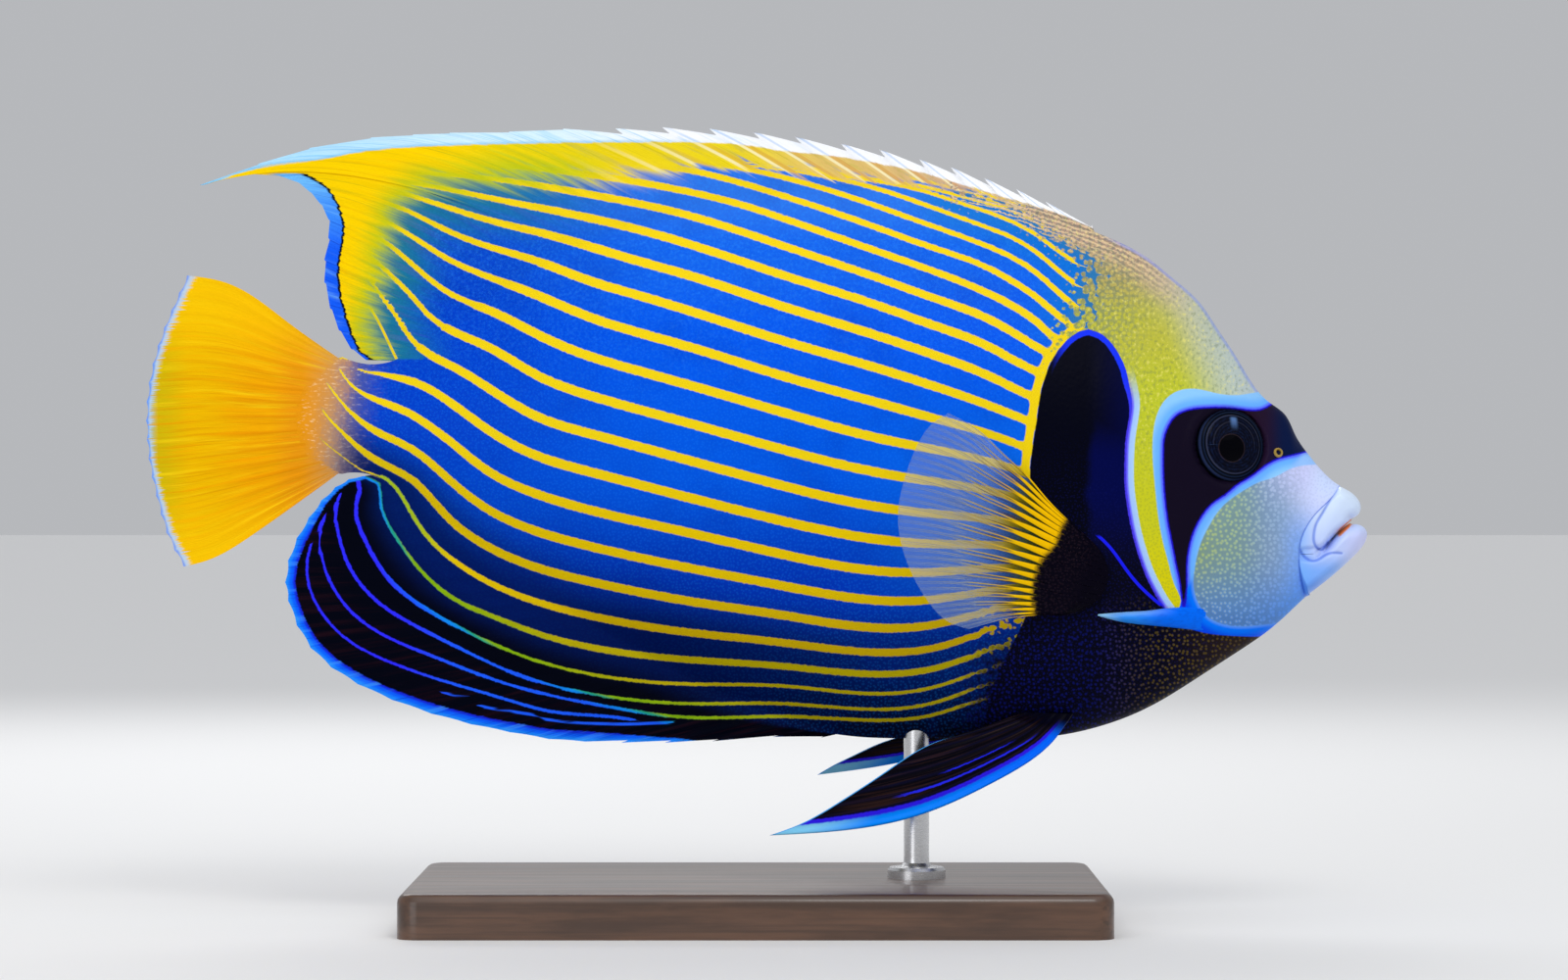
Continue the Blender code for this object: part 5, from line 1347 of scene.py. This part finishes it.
def pelvic_material():
    """A black fin with a bright blue front band and thin blue lines."""
    made, surface = new_material("angelfish_pelvic")
    here = place()
    across, s = attribute("across"), attribute("along_ray")
    fine = noise(here, 900, 2) - 0.5
    a = across + fine * 0.02
    colour = (across * 10).wave().rise(0.3, 0).mix(rgb(5, 4, 14), rgb(10, 10, 36))
    colour = (noise(flat_place(across * 40, s * 2), 1).rise(0.5, 0.7)
              * 0.6).mix(colour, rgb(56, 34, 28))
    lines = (abs(a - 0.27).rise(0.016, 0.007) * s.rise(0.1, 0.2) * s.rise(0.75, 0.65)).math(
        "MAXIMUM", abs(a - 0.38).rise(0.012, 0.005) * s.rise(0.2, 0.3) * s.rise(0.6, 0.5))
    colour = coated(colour,
        (lines, rgb(36, 40, 236)),
        (a.rise(0.185, 0.165), rgb(48, 30, 240)))
    band = rise_colour(s, (0.1, rgb(0, 104, 255)), (0.7, rgb(0, 136, 255)), (0.95, rgb(130, 210, 250)))
    colour = a.rise(0.135, 0.11).mix(colour, band)
    rear_line = attribute("margin").rise(2.9, 1.9) * s.rise(0.05, 0.15)
    colour = coated(colour,
        (rear_line, s.rise(0.9, 0.6).mix(rgb(70, 170, 250), rgb(10, 104, 255))),
        (s.rise(0.1, 0.02), rgb(8, 8, 24)))
    plug(surface, {"Base Color": colour,
                   "Roughness": 0.35,
                   "Specular IOR Level": 0.03,
                   "Normal": bump((across * 10.0).wave(), 0.3, 0.0004)})
    return made


class ANGELFISH_OT_pelvic_fins(bpy.types.Operator):
    """Build both pelvic fins"""

    bl_idname = "angelfish.pelvic_fins"
    bl_label = "Pelvic fins"

    def execute(self, context):
        made = pelvic_material()
        s = np.linspace(0, 1, 60)[:, None]
        count = 61
        outlines = ((PELVIC_RIGHT_TIPS, PELVIC_LEAD), (PELVIC_LEFT_TIPS, PELVIC_LEAD_LEFT))
        for (side, hand), (tips, lead), spread in zip(SIDES, outlines, PELVIC_SPREAD):
            tips, root = smooth_path(tips, count), smooth_path(PELVIC_ROOT, count)
            u = np.linspace(0, 1, count)
            bend = resampled(smooth_path(lead, 80), s[:, 0]) - ((1 - s) * root[0] + s * tips[0])
            bend = bend[:, None] * (1 - u[None, :, None]) ** 2
            sheet = (1 - s)[..., None] * root + s[..., None] * tips + bend
            run = (root[0, 0] - sheet[..., 0]) / (root[0, 0] - tips[0, 0])
            crest = (0.5 + 0.5 * np.cos(2 * math.pi * u * 5)) * (1 + 1.5 * (u < 0.06))
            thick = 0.45 + 1.4 * (1 - s) ** 1.5 + 0.3 * crest[None, :] * (1 - s**4)
            thick = thick * np.clip(np.minimum(u + 0.02, 1.0 - u) * 25 + 0.3, 0, 1)[None, :]
            bm, index = thick_sheets([side_fin(sheet, side, 5.0 + spread * run, thick)])
            margin = (1 - s) * np.linalg.norm(tips - root, axis=1)[None, :] / UNIT
            fields = {"margin": margin.reshape(-1)[index],
                      "across": spread_over(u, thick, index),
                      "along_ray": spread_over(s, thick, index)}
            name = "pelvic_fin_" + hand
            settle(add_object(bm, name, [made], 80, fields), "pelvic_fin", name)
        return {"FINISHED"}


def cheek_spine_material():
    """A bright blue spine, paler towards its tip."""
    made, surface = new_material("angelfish_cheek_spine")
    x, y = attribute("flank_x"), attribute("flank_y")
    colour = rise_colour(x, (1118, rgb(150, 210, 246)), (1150, rgb(40, 140, 244)),
                         (1190, rgb(0, 108, 250)))
    colour = coated(colour,
        (y.rise(631, 622) * x.rise(1205, 1150) * 0.6, rgb(170, 214, 250)),
        (noise(stretched((0.1, 1, 1)), 1400, 2).rise(0.45, 0.7) * 0.25, rgb(8, 60, 190)))
    plug(surface, {"Base Color": colour, "Roughness": 0.36, "Specular IOR Level": 0.03})
    return made


class ANGELFISH_OT_cheek_spines(bpy.types.Operator):
    """Build the spine at the lower corner of each cheek"""

    bl_idname = "angelfish.cheek_spines"
    bl_label = "Cheek spines"

    def execute(self, context):
        made = cheek_spine_material()
        v = np.linspace(0, 1, 70)
        top, low = (resampled(smooth_path(path, 80), v) for path in (SPINE_TOP, SPINE_LOW))
        across = np.linspace(0, 1, 17)
        sheet = (1 - across)[:, None, None] * low + across[:, None, None] * top
        arch = np.sqrt(np.clip(1 - (2 * across - 1) ** 2, 0, 1))[:, None]
        thick = 0.12 + 2.6 * arch * np.sin(math.pi * np.minimum(v**0.8, 1.0))[None, :]
        for side, hand in SIDES:
            part = side_fin(sheet, side, 0.0, thick)
            bm, _ = thick_sheets([part])
            seen = flank(mesh_points(bm))
            name = "cheek_spine_" + hand
            made_object = add_object(bm, name, [made], 80, {"flank_x": seen[:, 0], "flank_y": seen[:, 1]})
            settle(made_object, "cheek_spine", name)
        return {"FINISHED"}


def wood_material(wood):
    """Dark varnished wood with a grain along the base."""
    made, surface = new_material("angelfish_wood")
    grain = noise(stretched((6.0, 60.0, 60.0)), 3.0, 6.0, 0.6)
    line = noise(stretched((3.0, 160.0, 160.0)), 4.0, 3.0, 0.5)
    colour = grain.rise(0.35, 0.65).mix(wood, tuple(c * 2.1 for c in wood))
    colour = (line.rise(0.5, 0.7) * 0.5).mix(colour, tuple(c * 0.45 for c in wood))
    plug(surface, {"Base Color": colour,
                   "Roughness": line * 0.2 + 0.28,
                   "Coat Weight": 0.3,
                   "Coat Roughness": 0.15,
                   "Normal": bump(line, 0.15, 0.0003)})
    return made


def steel_material():
    """Brushed steel."""
    made, surface = new_material("angelfish_steel")
    brushed = noise(stretched((400.0, 400.0, 6000.0)), 1.0, 2.0)
    plug(surface, {"Base Color": (0.62, 0.62, 0.63),
                   "Metallic": 1.0,
                   "Roughness": brushed * 0.15 + 0.2})
    return made


class ANGELFISH_OT_stand(bpy.types.Operator):
    """Build the display stand"""

    bl_idname = "angelfish.stand"
    bl_label = "Stand"

    def execute(self, context):
        settings = context.scene.angelfish_stand
        made = wood_material(tuple(settings.wood))
        low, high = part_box("stand_base")
        bm = bmesh.new()
        bmesh.ops.create_cube(bm, size=1)
        bmesh.ops.scale(bm, vec=high - low, verts=bm.verts[:])
        bmesh.ops.translate(bm, vec=(low + high) / 2, verts=bm.verts[:])
        upright = [edge for edge in bm.edges if abs(edge.verts[0].co.z - edge.verts[1].co.z) > 0.005]
        bmesh.ops.bevel(bm, geom=upright, offset=BASE_CORNER, affect="EDGES", segments=6, profile=0.5,
                        material=-1)
        rim = [edge for edge in bm.edges if min(vert.co.z for vert in edge.verts) > high.z - 1e-5]
        bmesh.ops.bevel(bm, geom=rim, offset=settings.chamfer, affect="EDGES", segments=4, profile=0.5,
                        material=-1)
        settle(add_object(bm, "stand_base", [made], 35), "stand_wood", "stand_base")
        low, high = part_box("stand_rod")
        end = high.z / MM - ROD_SHORT
        bm = spun([*ROD_FOOT, (ROD_RADIUS, end), (0.0, end)], 48)
        bmesh.ops.translate(bm, vec=((low.x + high.x) / 2, 0, 0), verts=bm.verts[:])
        bmesh.ops.recalc_face_normals(bm, faces=bm.faces[:])
        settle(add_object(bm, "stand_rod", [steel_material()], 35), "stand_steel", "stand_rod")
        return {"FINISHED"}


class ANGELFISH_OT_stage(bpy.types.Operator):
    """Set the floor, the studio light and the camera"""

    bl_idname = "angelfish.stage"
    bl_label = "Stage"

    def execute(self, context):
        scene = context.scene
        bm = bmesh.new()
        bmesh.ops.create_grid(bm, x_segments=1, y_segments=1, size=12.0)
        floor = add_object(bm, "floor", [plain_material("floor", (0.8, 0.8, 0.8), 0.8)])
        world = bpy.data.worlds.new("studio")
        scene.world = world
        world.use_nodes = True
        background = world.node_tree.nodes["Background"]
        background.inputs[0].default_value = (0.94, 0.96, 1.0, 1)
        background.inputs[1].default_value = 0.5
        scene.view_settings.view_transform = "Standard"
        lamps = (("key", (0.25, -1.1, 1.1), 0.5, 6.0, (1.0, 0.99, 0.97)),
                 ("fill", (-0.9, -1.3, 0.35), 0.7, 3.2, (0.97, 0.98, 1.0)),
                 ("back", (-0.2, 1.0, 0.9), 0.8, 5.0, (1.0, 1.0, 1.0)))
        for name, spot, size, power, colour in lamps:
            data = bpy.data.lights.new(name, "AREA")
            data.size = size
            data.energy = power
            data.color = colour
            lamp = bpy.data.objects.new(name, data)
            lamp.location = spot
            lamp.rotation_mode = "QUATERNION"
            lamp.rotation_quaternion = (Vector((0.02, 0, 0.12)) - Vector(spot)).to_track_quat("-Z", "Y")
            scene.collection.objects.link(lamp)
        data = bpy.data.lights.new("overhead", "SUN")
        data.energy = 0.8
        data.angle = 1.4
        lamp = bpy.data.objects.new("overhead", data)
        lamp.rotation_euler = (0.45, 0.15, 0)
        scene.collection.objects.link(lamp)
        data = bpy.data.cameras.new("camera")
        data.sensor_width = SENSOR
        data.lens = SENSOR * VIEW_DISTANCE / (IMAGE_WIDTH * UNIT)
        data.clip_end = 50
        camera = bpy.data.objects.new("camera", data)
        camera.location = ((VIEW_CENTRE[0] - DRAWING_X) * UNIT * MM, -VIEW_DISTANCE * MM,
                           (DRAWING_Y - VIEW_CENTRE[1]) * UNIT * MM)
        camera.rotation_euler = (math.pi / 2, 0, 0)
        scene.collection.objects.link(camera)
        scene.camera = camera
        return {"FINISHED"}


class ANGELFISH_PT_panel(bpy.types.Panel):
    """The pieces of the angelfish"""

    bl_label = "Angelfish"
    bl_space_type = "VIEW_3D"
    bl_region_type = "UI"
    bl_category = "Angelfish"

    def draw(self, context):
        for group in (context.scene.angelfish_looks, context.scene.angelfish_stand):
            for name in group.bl_rna.properties.keys():
                if name not in ("rna_type", "name"):
                    self.layout.prop(group, name)
        for operator in OPERATORS:
            self.layout.operator(operator.bl_idname)


OPERATORS = (ANGELFISH_OT_skin, ANGELFISH_OT_lips, ANGELFISH_OT_eyes, ANGELFISH_OT_nostrils,
             ANGELFISH_OT_pectoral_fins, ANGELFISH_OT_pelvic_fins, ANGELFISH_OT_cheek_spines,
             ANGELFISH_OT_stand, ANGELFISH_OT_stage)
CLASSES = (AngelfishLooks, AngelfishStand, *OPERATORS, ANGELFISH_PT_panel)


def register():
    for item in CLASSES:
        bpy.utils.register_class(item)
    bpy.types.Scene.angelfish_looks = bpy.props.PointerProperty(type=AngelfishLooks)
    bpy.types.Scene.angelfish_stand = bpy.props.PointerProperty(type=AngelfishStand)


def unregister():
    del bpy.types.Scene.angelfish_looks, bpy.types.Scene.angelfish_stand
    for item in reversed(CLASSES):
        bpy.utils.unregister_class(item)


def main():
    register()
    for thing in list(bpy.data.objects):
        if thing.type in ("CAMERA", "LIGHT"):
            bpy.data.objects.remove(thing)
    bpy.ops.angelfish.skin()
    bpy.ops.angelfish.lips()
    bpy.ops.angelfish.eyes()
    bpy.ops.angelfish.nostrils()
    bpy.ops.angelfish.pectoral_fins()
    bpy.ops.angelfish.pelvic_fins()
    bpy.ops.angelfish.cheek_spines()
    bpy.ops.angelfish.stand()
    bpy.ops.angelfish.stage()


if __name__ == "__main__":
    main()
